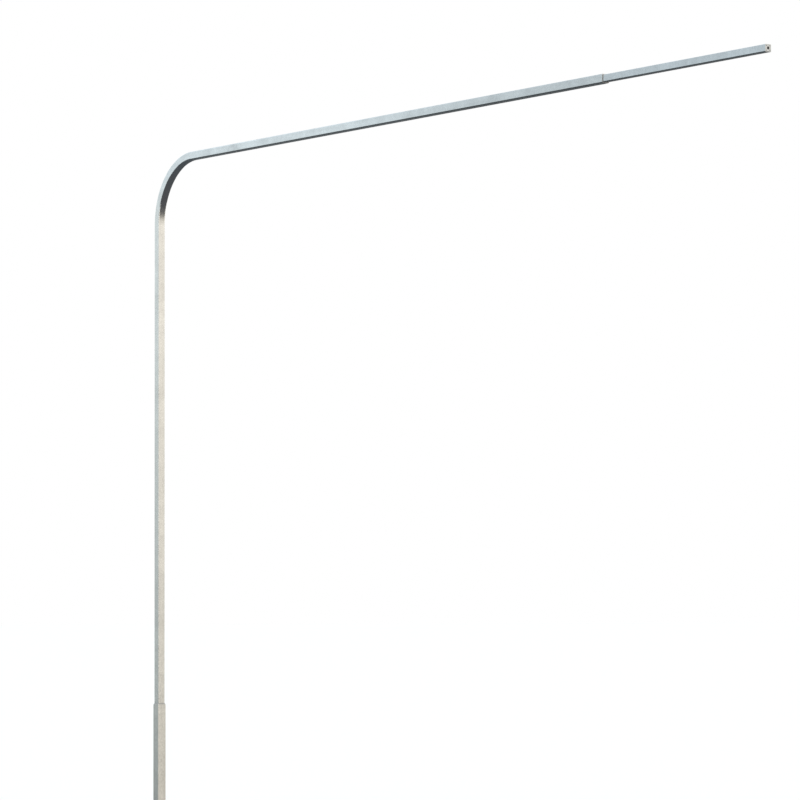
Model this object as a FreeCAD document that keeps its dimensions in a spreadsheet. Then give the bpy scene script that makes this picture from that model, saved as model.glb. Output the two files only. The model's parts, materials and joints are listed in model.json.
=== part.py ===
"""Street lamp post: square steel post with a swept bend, a long level arm and a service door.

Millimetres. +Z is up and +X runs along the arm. The origin is the centre of the flange's underside.
The service door is on the -X face, away from the arm.
"""
import FreeCAD, Part
import math
import os
import re
from types import SimpleNamespace

import Sketcher

V = FreeCAD.Vector
doc = FreeCAD.newDocument("street_lamp_post")

# ---------------------------------------------------------------------------------------------
# Driving sizes: name, value, what it is
# ---------------------------------------------------------------------------------------------
SIZES = [
    ("overcut", 1, "how far a cutting shape runs past what it cuts"),
    ("flange_side", 400, "square flange, side"),
    ("flange_plate", 25, "flange thickness"),
    ("flange_corner", 20, "flange corner radius"),
    ("bolt_spacing", 300, "foundation bolts, centre to centre both ways"),
    ("bolt_hole", 13, "foundation bolt hole, radius"),
    ("entry_hole", 45, "supply cable hole in the flange, radius"),
    ("gusset_height", 120, "gusset up the base tube"),
    ("gusset_reach", 110, "gusset out from the base tube's face"),
    ("gusset_plate", 12, "gusset thickness"),
    ("gusset_nose", 15, "gusset's blunt edges"),
    ("foot_bead", 10, "weld leg round the foot of the base tube"),
    ("bead_feather", 0.2, "weld bead thickness at its thin edge"),
    ("gusset_snipe", 13, "gusset corner cut away over the foot weld"),
    ("base_wall", 8, "base tube wall"),
    ("base_corner", 12, "base tube outer corner radius"),
    ("base_top", 1442, "top of the base tube above the origin"),
    ("shaft_side", 100, "shaft and arm tube, outside"),
    ("shaft_wall", 8, "shaft and arm tube wall"),
    ("shaft_corner", 12, "shaft and arm tube outer corner radius"),
    ("base_slip", 2, "gap between the base tube's inside and the shaft, each side"),
    ("shaft_insertion", 250, "length of shaft inside the base tube"),
    ("arm_height", 8450, "centreline of the arm above the origin"),
    ("bend_radius", 818, "centreline radius of the swept bend"),
    ("step_reach", 9085, "end of the larger arm tube, from the post's axis"),
    ("arm_reach", 11730, "outer face of the arm's end plate, from the post's axis"),
    ("tip_slip", 2, "gap between the arm's inside and the tip tube, each side"),
    ("tip_wall", 5, "arm tip tube wall"),
    ("tip_corner", 8, "arm tip tube outer corner radius"),
    ("tip_insertion", 300, "length of tip tube inside the arm"),
    ("packer_length", 60, "packers between two tubes, along the tubes"),
    ("packer_width", 50, "packers between two tubes, across the tubes"),
    ("collar_rise", 8, "tapered collar on top of the base tube"),
    ("collar_lip", 3, "collar thickness at its top edge"),
    ("collar_draw", 0.5, "collar drawn in at its upper edge"),
    ("slip_gap", 0.3, "clearance of the collar round the shaft"),
    ("seam_bead", 6, "weld leg at the collar and at the arm's step"),
    ("end_plate", 10, "arm end plate thickness"),
    ("lamp_bolt_spacing", 50, "luminaire bolts, centre to centre both ways"),
    ("lamp_bolt_hole", 4.5, "luminaire bolt hole, radius"),
    ("lamp_cable_hole", 12.5, "cable hole in the end plate, radius"),
    ("grommet_lip", 3.5, "grommet lip beyond its hole"),
    ("grommet_web", 2.5, "grommet lip thickness"),
    ("door_middle", 930, "middle of the service door above the origin"),
    ("opening_margin", 24, "door opening in from the base tube's flanks"),
    ("opening_height", 400, "door opening, up the post"),
    ("opening_corner", 12, "door opening corner radius"),
    ("seal_gap", 1, "seal back from the opening's edge"),
    ("seal_width", 4, "seal strip width"),
    ("seal_plate", 3, "seal thickness, between the wall and the door"),
    ("door_plate", 3, "door leaf thickness"),
    ("door_lip", 5, "door leaf beyond the seal on its free sides"),
    ("hinge_gap", 6, "hinge axis out from the wall and from the leaf's edge"),
    ("knuckle_radius", 5, "hinge knuckle, outside"),
    ("knuckle_foot", 3.5, "half the knuckle's foot, across"),
    ("knuckle_length", 28, "hinge knuckle, each half"),
    ("hinge_pin", 3, "hinge pin radius"),
    ("pin_relief", 1, "hinge pin short of its blind end"),
    ("hinge_play", 0.05, "running clearance on pins, spindles and levers"),
    ("hinge_spacing", 280, "between the two hinges"),
    ("washer_plate", 2, "hinge washer thickness"),
    ("lock_spacing", 200, "between the two locks"),
    ("lock_inset", 12, "lock axes in from the opening's edge"),
    ("lock_barrel", 6.5, "lock housing, barrel radius"),
    ("lock_head", 10, "lock housing, head radius"),
    ("lock_bore", 5, "lock housing, bore radius"),
    ("lock_head_plate", 2.5, "lock housing, head thickness"),
    ("lock_length", 12, "lock housing, barrel length behind the leaf's face"),
    ("spindle_set", 0.5, "spindle back from the lock's face"),
    ("spindle_rim", 0.9, "spindle rim around its key well"),
    ("key_depth", 4, "key well depth"),
    ("lock_nut_flats", 17, "lock nut across flats"),
    ("lock_nut_plate", 4, "lock nut thickness"),
    ("pawl_gap", 0.6, "pawl clear of the wall it catches"),
    ("pawl_plate", 3, "pawl thickness"),
    ("pawl_length", 22, "pawl from the spindle's axis to its tip"),
    ("pawl_half", 5, "half the pawl's width"),
    ("pawl_neck", 7, "square neck that carries the pawl, across flats"),
    ("pawl_screw", 2, "pawl screw radius"),
    ("pawl_screw_reach", 6, "pawl screw into the spindle"),
    ("pawl_screw_rim", 1.2, "pawl screw head beyond the neck"),
    ("pawl_screw_head", 2.6, "pawl screw head height"),
    ("bracket_depth", 6, "plate bracket, out from the back wall"),
    ("bracket_width", 40, "plate bracket, across"),
    ("bracket_height", 24, "plate bracket, up"),
    ("bracket_spacing", 240, "between the two plate brackets"),
    ("board_plate", 2.5, "mounting plate thickness"),
    ("board_width", 70, "mounting plate, across"),
    ("board_height", 350, "mounting plate, up"),
    ("board_screw", 3, "mounting plate screw radius"),
    ("board_screw_rim", 2.5, "mounting plate screw head beyond its shank"),
    ("board_screw_head", 3.5, "mounting plate screw head height"),
    ("screw_relief", 1, "mounting plate screw short of the back wall"),
    ("rail_width", 35, "equipment rail over its flanges"),
    ("rail_throat", 27, "equipment rail over its webs"),
    ("rail_depth", 7.5, "equipment rail depth"),
    ("rail_sheet", 1, "equipment rail sheet thickness"),
    ("rail_length", 66, "equipment rail length"),
    ("rail_rise", 35, "upper rail above the door's middle"),
    ("rail_drop", 80, "lower rail below the door's middle"),
    ("rail_screw", 2.5, "rail screw radius"),
    ("rail_screw_rim", 2, "rail screw head beyond its shank"),
    ("rail_screw_head", 2.5, "rail and clamp screw head height"),
    ("rail_screw_spacing", 50, "between a rail's two screws"),
    ("stop_width", 6, "rail end stop, along the rail"),
    ("stop_rise", 6, "rail end stop beyond the rail's flange"),
    ("stop_depth", 12, "rail end stop, rail to front"),
    ("module_width", 17.5, "one equipment module, along the rail"),
    ("module_gap", 0.1, "between neighbours on a rail"),
    ("module_height", 85, "equipment module, up"),
    ("module_depth", 44, "equipment module, rail to shoulder"),
    ("nose_depth", 14, "equipment module, shoulder to nose"),
    ("breaker_nose", 45, "breaker nose, up"),
    ("holder_nose", 64, "fuse holder nose, up"),
    ("hook_grip", 3, "hook lip behind the rail's flange"),
    ("hook_clear", 0.3, "hook clear of the rail's edge"),
    ("hook_gap", 0.2, "hook clear of the back of the rail's flange"),
    ("hook_depth", 2.5, "hook behind the rail's flange"),
    ("lever_hub", 5, "breaker lever hub radius"),
    ("lever_width", 9, "breaker lever width"),
    ("lever_reach", 14, "breaker lever beyond its axis"),
    ("lever_bar", 4, "breaker lever thickness"),
    ("lever_tilt", 25, "breaker lever above level when on, degrees"),
    ("lever_room", 2, "lever slot behind the lever's hub"),
    ("lever_sweep", 12, "half the lever slot's height"),
    ("small_pin", 1.5, "lever and carrier pin radius"),
    ("pin_seat", 1.5, "how far those pins reach into each side wall"),
    ("pin_setback", 5, "lever and carrier axes behind the nose"),
    ("slot_play", 0.3, "moving insert clear of each slot wall"),
    ("carrier_width", 12.9, "fuse carrier width"),
    ("carrier_drop", 20, "fuse carrier axis below its module's middle"),
    ("carrier_hub", 3.6, "fuse carrier hub radius"),
    ("carrier_top", 27, "fuse carrier's top above its module's middle"),
    ("carrier_depth", 26, "fuse carrier behind its axis"),
    ("carrier_room", 3, "cavity behind the fuse carrier"),
    ("carrier_gap", 1, "cavity above the fuse carrier"),
    ("swing_gap", 0.4, "fuse carrier's swing, clearance added to its radius"),
    ("slab_inset", 2, "fuse carrier's slab in from its front and foot"),
    ("grip_reach", 4, "fuse carrier's grip in front of the nose"),
    ("grip_root", 3, "fuse carrier's grip behind the nose face"),
    ("grip_foot", 5, "fuse carrier's grip, foot above its module's middle"),
    ("fuse_radius", 5.15, "fuse link radius"),
    ("fuse_length", 38, "fuse link length"),
    ("fuse_rise", 4, "fuse link's middle above its module's middle"),
    ("terminal_width", 6.2, "live and neutral terminal, along the rail"),
    ("earth_terminal_width", 8, "earth terminal, along the rail"),
    ("terminal_height", 45, "terminal, up"),
    ("terminal_depth", 40, "terminal, rail to front"),
    ("stud_radius", 4, "earth stud radius"),
    ("stud_length", 25, "earth stud length"),
    ("stud_drop", 160, "earth stud below the door's middle"),
    ("stud_washer", 8, "earth washer and lug radius"),
    ("stud_washer_plate", 1.6, "earth washer thickness"),
    ("lug_plate", 1.5, "earth lug thickness"),
    ("lug_barrel", 2.6, "earth lug barrel radius"),
    ("lug_neck", 1, "earth lug's barrel clear of its ring"),
    ("stud_nut_flats", 13, "earth nut across flats"),
    ("stud_nut_plate", 6.5, "earth nut thickness"),
    ("core_radius", 1.6, "insulated core radius"),
    ("wire_stand", 20, "wires in front of the rails"),
    ("wire_run", 16, "straight wire at a module's clamp"),
    ("wire_lane", 5, "between the cores' lanes beside the rails"),
    ("wire_turn", 8, "arc radius where a core turns into its lane"),
    ("feed_turn", 30, "arc radius of the feed wire"),
    ("core_turn", 20, "arc radius of the live and neutral cores at the riser"),
    ("earth_turn", 7, "arc radius where the earth core turns into its lane"),
    ("earth_sweep", 16, "arc radius of the earth core at the riser"),
    ("core_cross", 30, "where the innermost core leaves its lane, below the riser"),
    ("core_tail", 9, "straight core below the riser and at the earth terminal"),
    ("core_stagger", 3, "between the cores' straight lengths below the riser"),
    ("fan_slant", 0.87, "sine of the angle between the riser's cores"),
    ("bond_run", 14, "straight earth wire at the lug and its terminal"),
    ("bond_turn", 10, "arc radius of the earth wire"),
    ("riser_radius", 5, "riser cable radius"),
    ("riser_foot", 150, "riser cable's lower end above the door's middle"),
    ("riser_tail", 60, "riser cable's upper end back from the end plate"),
    ("riser_lift", 1, "riser cable clear of the tube wall it lies along"),
    ("ramp_start", 120, "riser cable's ramp before the tip tube, start"),
    ("ramp_end", 30, "riser cable's ramp before the tip tube, end"),
    ("ramp_turn", 300, "riser cable's arc radius at its ramp"),
    ("clamp_rise", 155, "cable clamp above the door's middle"),
    ("clamp_height", 15, "cable clamp, up"),
    ("clamp_width", 36, "cable clamp, across"),
    ("clamp_cover", 3, "cable clamp in front of the cable"),
    ("clamp_screw_spacing", 26, "between the clamp's two screws"),
    ("clamp_screw_rim", 1.5, "clamp screw head beyond its shank"),
]

sheet = doc.addObject("Spreadsheet::Sheet", "Sizes")
for row, (alias, value, note) in enumerate(SIZES, start=1):
    sheet.set(f"A{row}", note)
    sheet.set(f"B{row}", str(value))
    sheet.setAlias(f"B{row}", alias)
doc.recompute()
S = SimpleNamespace(**{alias: float(value) for alias, value, note in SIZES})

# Places that several pieces share, as formulas of the driving sizes
SHARED = {
    "base_side": "(shaft_side + 2 * base_slip + 2 * base_wall)",
    "tip_side": "(shaft_side - 2 * shaft_wall - 2 * tip_slip)",
    "opening_width": "(base_side - 2 * opening_margin)",
    "lock_y": "(-opening_width / 2 + lock_inset)",
    "wall_face": "(-base_side / 2)",
    "inside_front": "(-base_side / 2 + base_wall)",
    "inside_back": "(base_side / 2 - base_wall)",
    "inside_flank": "(base_side / 2 - base_wall)",
    "leaf_back": "(-base_side / 2 - seal_plate)",
    "leaf_front": "(-base_side / 2 - seal_plate - door_plate)",
    "leaf_edge": "(opening_width / 2 + seal_gap + seal_width)",
    "hinge_x": "(-base_side / 2 - hinge_gap)",
    "hinge_y": "(opening_width / 2 + seal_gap + seal_width + hinge_gap)",
    "pawl_front": "(-base_side / 2 + base_wall + pawl_gap)",
    "board_back": "(base_side / 2 - base_wall - bracket_depth)",
    "board_front": "(base_side / 2 - base_wall - bracket_depth - board_plate)",
    "rail_front": "(base_side / 2 - base_wall - bracket_depth - board_plate - rail_depth)",
    "upper_rail": "(door_middle + rail_rise)",
    "lower_rail": "(door_middle - rail_drop)",
    "shaft_foot": "(base_top - shaft_insertion)",
    "bend_start": "(arm_height - bend_radius)",
    "tip_root": "(step_reach - tip_insertion)",
    "tip_end": "(arm_reach - end_plate)",
}
WORD = re.compile(r"[a-z][a-z_]*")


def formula(text):
    """Spell out the shared places, which may name one another, and point each size at its cell."""
    spelled = str(text)
    while set(WORD.findall(spelled)) & set(SHARED):
        spelled = WORD.sub(lambda found: SHARED.get(found[0], found[0]), spelled)
    return WORD.sub(lambda found: "Sizes." + found[0] if hasattr(S, found[0]) else found[0], spelled)


def bind(obj, prop, text):
    obj.setExpression(prop, formula(text))


def measure(text):
    """The value of a formula, read back from the sheet's own scratch cell."""
    sheet.set("D1", "=" + formula(text).replace("Sizes.", ""))
    sheet.recompute()
    return float(sheet.get("D1"))


# ---------------------------------------------------------------------------------------------
# Sub-parts and small building blocks
# ---------------------------------------------------------------------------------------------
pieces = []


def piece(node, obj, solids=1):
    """Name a finished sub-part; its label is the name of its file."""
    obj.Label = node
    pieces.append((obj, solids))
    return obj


def block(name, x, y, z):
    """A box between pairs of formulas."""
    box = doc.addObject("Part::Box", name)
    for side, axis, (low, high) in zip(("Length", "Width", "Height"), "xyz", (x, y, z)):
        bind(box, side, f"({high}) - ({low})")
        bind(box, f".Placement.Base.{axis}", low)
    return box


TURNS = {
    "X": FreeCAD.Rotation(V(0, 0, 1), V(1, 0, 0)),
    "Y": FreeCAD.Rotation(V(0, 0, 1), V(0, 1, 0)),
    "Z": FreeCAD.Rotation(),
}


def place_along(obj, along, span, centre):
    """Stand a primitive's height along a row axis, from span's low end, on a centre line."""
    obj.Placement = FreeCAD.Placement(V(0, 0, 0), TURNS[along])
    low, high = span
    bind(obj, "Height", f"({high}) - ({low})")
    bind(obj, f".Placement.Base.{along.lower()}", low)
    for axis, value in zip("XYZ".replace(along, "").lower(), centre):
        bind(obj, f".Placement.Base.{axis}", value)
    return obj


def rod(name, along, span, centre, radius):
    cylinder = doc.addObject("Part::Cylinder", name)
    bind(cylinder, "Radius", radius)
    return place_along(cylinder, along, span, centre)


def hexagon(name, along, span, centre, flats):
    prism = doc.addObject("Part::Prism", name)
    prism.Polygon = 6
    bind(prism, "Circumradius", f"({flats}) / sqrt(3)")
    return place_along(prism, along, span, centre)


def cut(name, base, *tools):
    """Take each tool away from the base in turn."""
    for count, tool in enumerate(tools):
        result = doc.addObject("Part::Cut", f"{name}_cut_{count}")
        result.Base = base
        result.Tool = tool
        base = result
    return base


def fuse(name, *shapes):
    result = doc.addObject("Part::MultiFuse", name)
    result.Shapes = list(shapes)
    result.Refine = True
    return result


def group(name, members):
    result = doc.addObject("Part::Compound", name)
    result.Links = list(members)
    return result


def pan_screw(name, along, face, tip, centre, radius, head_radius, head, sign):
    """A screw: a shank from face to tip and a flat head that stands out of the face."""
    ends = (tip, face) if sign > 0 else (face, tip)
    shank = rod(f"{name}_shank", along, ends, centre, radius)
    head_span = (face, f"({face}) + {head}") if sign > 0 else (f"({face}) - {head}", face)
    cap = rod(f"{name}_head", along, head_span, centre, head_radius)
    return fuse(name, shank, cap)


# ---------------------------------------------------------------------------------------------
# Sketches
# ---------------------------------------------------------------------------------------------
def new_body(name):
    return doc.addObject("PartDesign::Body", name)


def new_sketch(body, name, plane, height="0"):
    """A sketch on one of its body's own planes, moved along that plane's normal."""
    sketch = body.newObject("Sketcher::SketchObject", name)
    role = {"XY": "XY_Plane", "XZ": "XZ_Plane", "YZ": "YZ_Plane"}[plane]
    support = [item for item in body.Origin.OriginFeatures if item.Role == role][0]
    sketch.AttachmentSupport = [(support, "")]
    sketch.MapMode = "FlatFace"
    sign = "-1 * " if plane == "XZ" else ""
    bind(sketch, ".AttachmentOffset.Base.z", f"{sign}({height})")
    return sketch


def pin_down(sketch, kind, where, text):
    """Add one dimension to a sketch and bind it to a formula. Sketcher wants it positive."""
    value = measure(text)
    if value < 0:
        where = where[2:] + where[:2]
        text = f"-1 * ({text})"
    index = sketch.addConstraint(Sketcher.Constraint(kind, *where, abs(value)))
    bind(sketch, f"Constraints[{index}]", text)


def rounded_square(sketch, width, height, corner, middle=("0", "0")):
    """A rounded rectangle: four sides, four tangent arcs, and its sizes bound to the sheet."""
    half_w = measure(f"({width}) / 2")
    half_h = measure(f"({height}) / 2")
    radius = measure(corner)
    cx = measure(middle[0])
    cy = measure(middle[1])
    flat_w = half_w - radius
    flat_h = half_h - radius
    ends = [((-flat_w, -half_h), (flat_w, -half_h)), ((half_w, -flat_h), (half_w, flat_h)),
            ((flat_w, half_h), (-flat_w, half_h)), ((-half_w, flat_h), (-half_w, -flat_h))]
    centres = [(flat_w, -flat_h), (flat_w, flat_h), (-flat_w, flat_h), (-flat_w, -flat_h)]
    sides = []
    arcs = []
    for start, end in ends:
        line = Part.LineSegment(V(cx + start[0], cy + start[1], 0), V(cx + end[0], cy + end[1], 0))
        sides.append(sketch.addGeometry(line))
    for quarter, (x, y) in enumerate(centres):
        circle = Part.Circle(V(cx + x, cy + y, 0), V(0, 0, 1), radius)
        start = math.radians(-90 + 90 * quarter)
        arcs.append(sketch.addGeometry(Part.ArcOfCircle(circle, start, start + math.pi / 2)))
    for corner_index in range(4):
        after = (corner_index + 1) % 4
        sketch.addConstraint(Sketcher.Constraint("Tangent", sides[corner_index], 2, arcs[corner_index], 1))
        sketch.addConstraint(Sketcher.Constraint("Tangent", arcs[corner_index], 2, sides[after], 1))
    for side, kind in zip(sides, ("Horizontal", "Vertical", "Horizontal", "Vertical")):
        sketch.addConstraint(Sketcher.Constraint(kind, side))
    for other in arcs[1:]:
        sketch.addConstraint(Sketcher.Constraint("Equal", arcs[0], other))
    pin_down(sketch, "Radius", (arcs[0],), corner)
    pin_down(sketch, "DistanceX", (arcs[3], 3, arcs[0], 3), f"({width}) - 2 * ({corner})")
    pin_down(sketch, "DistanceY", (arcs[0], 3, arcs[1], 3), f"({height}) - 2 * ({corner})")
    pin_down(sketch, "DistanceX", (-1, 1, arcs[1], 3), f"({middle[0]}) + ({width}) / 2 - ({corner})")
    pin_down(sketch, "DistanceY", (-1, 1, arcs[1], 3), f"({middle[1]}) + ({height}) / 2 - ({corner})")


def ring(sketch, x, y, radius):
    """A circle placed and sized by formulas."""
    index = sketch.addGeometry(Part.Circle(V(measure(x), measure(y), 0), V(0, 0, 1), measure(radius)))
    pin_down(sketch, "Radius", (index,), radius)
    for kind, value in (("DistanceX", x), ("DistanceY", y)):
        if abs(measure(value)) < 1e-9:
            axis = "Vertical" if kind == "DistanceX" else "Horizontal"
            sketch.addConstraint(Sketcher.Constraint(axis, -1, 1, index, 3))
        else:
            pin_down(sketch, kind, (-1, 1, index, 3), value)


def polygon(sketch, points):
    """A closed outline through points, each placed by its own pair of formulas."""
    spots = [V(measure(x), measure(y), 0) for x, y in points]
    count = len(spots)
    lines = [sketch.addGeometry(Part.LineSegment(spots[i], spots[(i + 1) % count])) for i in range(count)]
    for i, line in enumerate(lines):
        sketch.addConstraint(Sketcher.Constraint("Coincident", line, 2, lines[(i + 1) % count], 1))
        pin_down(sketch, "DistanceX", (-1, 1, line, 1), points[i][0])
        pin_down(sketch, "DistanceY", (-1, 1, line, 1), points[i][1])


def pad(body, sketch, length):
    feature = body.newObject("PartDesign::Pad", f"{sketch.Name}_pad")
    feature.Profile = sketch
    bind(feature, "Length", length)
    return feature


def pocket(body, sketch, length=None, towards_normal=False):
    """A pocket against the sketch's normal, or along it; through everything without a length."""
    feature = body.newObject("PartDesign::Pocket", f"{sketch.Name}_pocket")
    feature.Profile = sketch
    feature.Reversed = towards_normal
    if length is None:
        feature.Type = "ThroughAll"
        feature.SideType = "Symmetric"
    else:
        bind(feature, "Length", length)
    return feature


def square_tube(name, plane, low, high, side, wall, corner, middle=("0", "0")):
    """A straight hollow section: an outer and an inner rounded square, padded."""
    body = new_body(name)
    sketch = new_sketch(body, f"{name}_section", plane, low)
    rounded_square(sketch, side, side, corner, middle)
    rounded_square(sketch, f"{side} - 2 * {wall}", f"{side} - 2 * {wall}", f"{corner} - {wall}", middle)
    pad(body, sketch, f"({high}) - ({low})")
    return body


def tapered_ring(name, plane, low, rise, wide, narrow, hole, hole_corner, middle=("0", "0")):
    """A collar or weld bead round a square tube: wide at its low end, narrow at its high end."""
    body = new_body(name)
    foot = new_sketch(body, f"{name}_foot", plane, low)
    rounded_square(foot, wide, wide, f"({hole_corner}) + (({wide}) - ({hole})) / 2", middle)
    top = new_sketch(body, f"{name}_top", plane, f"({low}) + {rise}")
    rounded_square(top, narrow, narrow, f"({hole_corner}) + (({narrow}) - ({hole})) / 2", middle)
    loft = body.newObject("PartDesign::AdditiveLoft", f"{name}_loft")
    loft.Profile = foot
    loft.Sections = [top]
    loft.Ruled = True
    opening = new_sketch(body, f"{name}_hole", plane, low)
    rounded_square(opening, hole, hole, hole_corner, middle)
    pocket(body, opening)
    return body


def outline_prism(name, plane, low, high, points):
    """A prism with a polygon outline. On XZ it runs along Y, on YZ along X, on XY along Z."""
    body = new_body(name)
    start = high if plane == "XZ" else low
    sketch = new_sketch(body, f"{name}_outline", plane, start)
    polygon(sketch, points)
    pad(body, sketch, f"({high}) - ({low})")
    return body


# ---------------------------------------------------------------------------------------------
# Foot: flange, gussets and weld
# ---------------------------------------------------------------------------------------------
flange = new_body("flange")
outline = new_sketch(flange, "flange_outline", "XY")
rounded_square(outline, "flange_side", "flange_side", "flange_corner")
pad(flange, outline, "flange_plate")
holes = new_sketch(flange, "flange_holes", "XY")
for sign_x in (-1, 1):
    for sign_y in (-1, 1):
        ring(holes, f"{sign_x} * bolt_spacing / 2", f"{sign_y} * bolt_spacing / 2", "bolt_hole")
ring(holes, "0", "0", "entry_hole")
pocket(flange, holes)
piece("base_flange", flange)

gussets = []
for quarter in range(4):
    gusset = outline_prism(f"gusset_{quarter}", "XZ", "-gusset_plate / 2", "gusset_plate / 2", [
        ("base_side / 2 + gusset_snipe", "flange_plate"),
        ("base_side / 2 + gusset_reach", "flange_plate"),
        ("base_side / 2 + gusset_reach", "flange_plate + gusset_nose"),
        ("base_side / 2 + gusset_nose", "flange_plate + gusset_height"),
        ("base_side / 2", "flange_plate + gusset_height"),
        ("base_side / 2", "flange_plate + gusset_snipe"),
    ])
    gusset.Placement = FreeCAD.Placement(V(0, 0, 0), FreeCAD.Rotation(V(0, 0, 1), 90 * quarter))
    gussets.append(gusset)
piece("base_gussets", group("gussets", gussets), solids=4)
piece("foot_weld", tapered_ring("foot", "XY", "flange_plate", "foot_bead", "base_side + 2 * foot_bead",
                                "base_side + 2 * bead_feather", "base_side", "base_corner"))

# ---------------------------------------------------------------------------------------------
# Base tube with its door opening, tapered collar, bent shaft and arm, arm tip
# ---------------------------------------------------------------------------------------------
base = square_tube("base", "XY", "flange_plate", "base_top", "base_side", "base_wall", "base_corner")
opening = new_sketch(base, "base_opening", "YZ", "inside_front + base_wall")
rounded_square(opening, "opening_width", "opening_height", "opening_corner", ("0", "door_middle"))
pocket(base, opening, "3 * base_wall")
piece("base_tube", base)

piece("base_collar", tapered_ring("collar", "XY", "base_top", "collar_rise", "base_side",
                                  "shaft_side + 2 * slip_gap + 2 * collar_lip", "shaft_side + 2 * slip_gap",
                                  "shaft_corner + slip_gap"))
piece("collar_weld", tapered_ring("collar_bead", "XY", "base_top + collar_rise", "seam_bead",
                                  "shaft_side + 2 * slip_gap + 2 * (collar_lip - collar_draw)",
                                  "shaft_side + 2 * bead_feather",
                                  "shaft_side", "shaft_corner"))

arm = new_body("arm")
section = new_sketch(arm, "arm_section", "XY", "shaft_foot")
rounded_square(section, "shaft_side", "shaft_side", "shaft_corner")
rounded_square(section, "shaft_side - 2 * shaft_wall", "shaft_side - 2 * shaft_wall",
               "shaft_corner - shaft_wall")
route = new_sketch(arm, "arm_route", "XZ")
bend_low = V(0, measure("bend_start"), 0)
bend_high = V(S.bend_radius, S.arm_height, 0)
riser = route.addGeometry(Part.LineSegment(V(0, measure("shaft_foot"), 0), bend_low))
bend_circle = Part.Circle(V(S.bend_radius, measure("bend_start"), 0), V(0, 0, 1), S.bend_radius)
bend = route.addGeometry(Part.ArcOfCircle(bend_circle, math.pi / 2, math.pi))
level = route.addGeometry(Part.LineSegment(bend_high, V(S.step_reach, S.arm_height, 0)))
route.addConstraint(Sketcher.Constraint("Tangent", riser, 2, bend, 2))
route.addConstraint(Sketcher.Constraint("Tangent", bend, 1, level, 1))
route.addConstraint(Sketcher.Constraint("Vertical", riser))
route.addConstraint(Sketcher.Constraint("Horizontal", level))
route.addConstraint(Sketcher.Constraint("PointOnObject", riser, 1, -2))
pin_down(route, "DistanceY", (-1, 1, riser, 1), "shaft_foot")
pin_down(route, "Radius", (bend,), "bend_radius")
pin_down(route, "DistanceY", (-1, 1, level, 2), "arm_height")
pin_down(route, "DistanceX", (-1, 1, level, 2), "step_reach")
sweep = arm.newObject("PartDesign::AdditivePipe", "arm_sweep")
sweep.Profile = section
sweep.Spine = (route, ["Edge1", "Edge2", "Edge3"])
piece("shaft_and_arm_tube", arm)

piece("arm_tip_tube", square_tube("tip", "YZ", "tip_root", "tip_end", "tip_side", "tip_wall", "tip_corner",
                                  ("0", "arm_height")))
piece("arm_step_weld", tapered_ring("step_bead", "YZ", "step_reach", "seam_bead", "tip_side + 2 * seam_bead",
                                    "tip_side + 2 * bead_feather", "tip_side", "tip_corner",
                                    ("0", "arm_height")))


def packers(name, outer_inside, inner_side):
    """Cross-section limits of four packers that fill the gap between two square tubes."""
    near = f"({inner_side}) / 2"
    far = f"({outer_inside}) / 2"
    half = "packer_width / 2"
    return [((near, far), (f"-{half}", half)), ((f"-({far})", f"-({near})"), (f"-{half}", half)),
            ((f"-{half}", half), (near, far)), ((f"-{half}", half), (f"-({far})", f"-({near})"))]


shaft_packers = []
for count, (across_x, across_y) in enumerate(packers("shaft", "base_side - 2 * base_wall", "shaft_side")):
    shaft_packers.append(block(f"shaft_packer_{count}", across_x, across_y,
                               ("shaft_foot", "shaft_foot + packer_length")))
piece("shaft_packers", group("shaft_packer_group", shaft_packers), solids=4)

arm_packers = []
for count, (across_y, up) in enumerate(packers("arm", "shaft_side - 2 * shaft_wall", "tip_side")):
    raised = (f"arm_height + ({up[0]})", f"arm_height + ({up[1]})")
    arm_packers.append(block(f"arm_packer_{count}", ("tip_root", "tip_root + packer_length"),
                             across_y, raised))
piece("arm_packers", group("arm_packer_group", arm_packers), solids=4)

plate = new_body("end")
outline = new_sketch(plate, "end_outline", "YZ", "tip_end")
rounded_square(outline, "tip_side", "tip_side", "tip_corner", ("0", "arm_height"))
pad(plate, outline, "end_plate")
holes = new_sketch(plate, "end_holes", "YZ", "tip_end")
for sign_y in (-1, 1):
    for sign_z in (-1, 1):
        ring(holes, f"{sign_y} * lamp_bolt_spacing / 2", f"arm_height + {sign_z} * lamp_bolt_spacing / 2",
             "lamp_bolt_hole")
ring(holes, "0", "arm_height", "lamp_cable_hole")
pocket(plate, holes)
seat = new_sketch(plate, "end_seat", "YZ", "arm_reach")
ring(seat, "0", "arm_height", "lamp_cable_hole + grommet_lip")
pocket(plate, seat, "grommet_web")
piece("tip_end_plate", plate)

on_arm = ("0", "arm_height")
piece("tip_grommet", fuse(
    "grommet",
    rod("grommet_outer_lip", "X", ("arm_reach - grommet_web", "arm_reach"), on_arm,
        "lamp_cable_hole + grommet_lip"),
    rod("grommet_neck", "X", ("tip_end - grommet_web", "arm_reach"), on_arm, "lamp_cable_hole"),
    rod("grommet_inner_lip", "X", ("tip_end - grommet_web", "tip_end"), on_arm,
        "lamp_cable_hole + grommet_lip")))

# ---------------------------------------------------------------------------------------------
# Service door: leaf, seal, hinges
# ---------------------------------------------------------------------------------------------
LOCKS = {"lower": "(door_middle - lock_spacing / 2)", "upper": "(door_middle + lock_spacing / 2)"}
HINGES = ["(door_middle - hinge_spacing / 2)", "(door_middle + hinge_spacing / 2)"]

leaf = new_body("leaf")
outline = new_sketch(leaf, "leaf_outline", "YZ", "leaf_front")
rounded_square(outline, "2 * leaf_edge + door_lip", "opening_height + 2 * (seal_gap + seal_width + door_lip)",
               "opening_corner / 2", ("-door_lip / 2", "door_middle"))
pad(leaf, outline, "door_plate")
holes = new_sketch(leaf, "leaf_holes", "YZ", "leaf_front")
for lock_z in LOCKS.values():
    ring(holes, "lock_y", lock_z, "lock_barrel")
pocket(leaf, holes)
piece("door_leaf", leaf)

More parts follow.
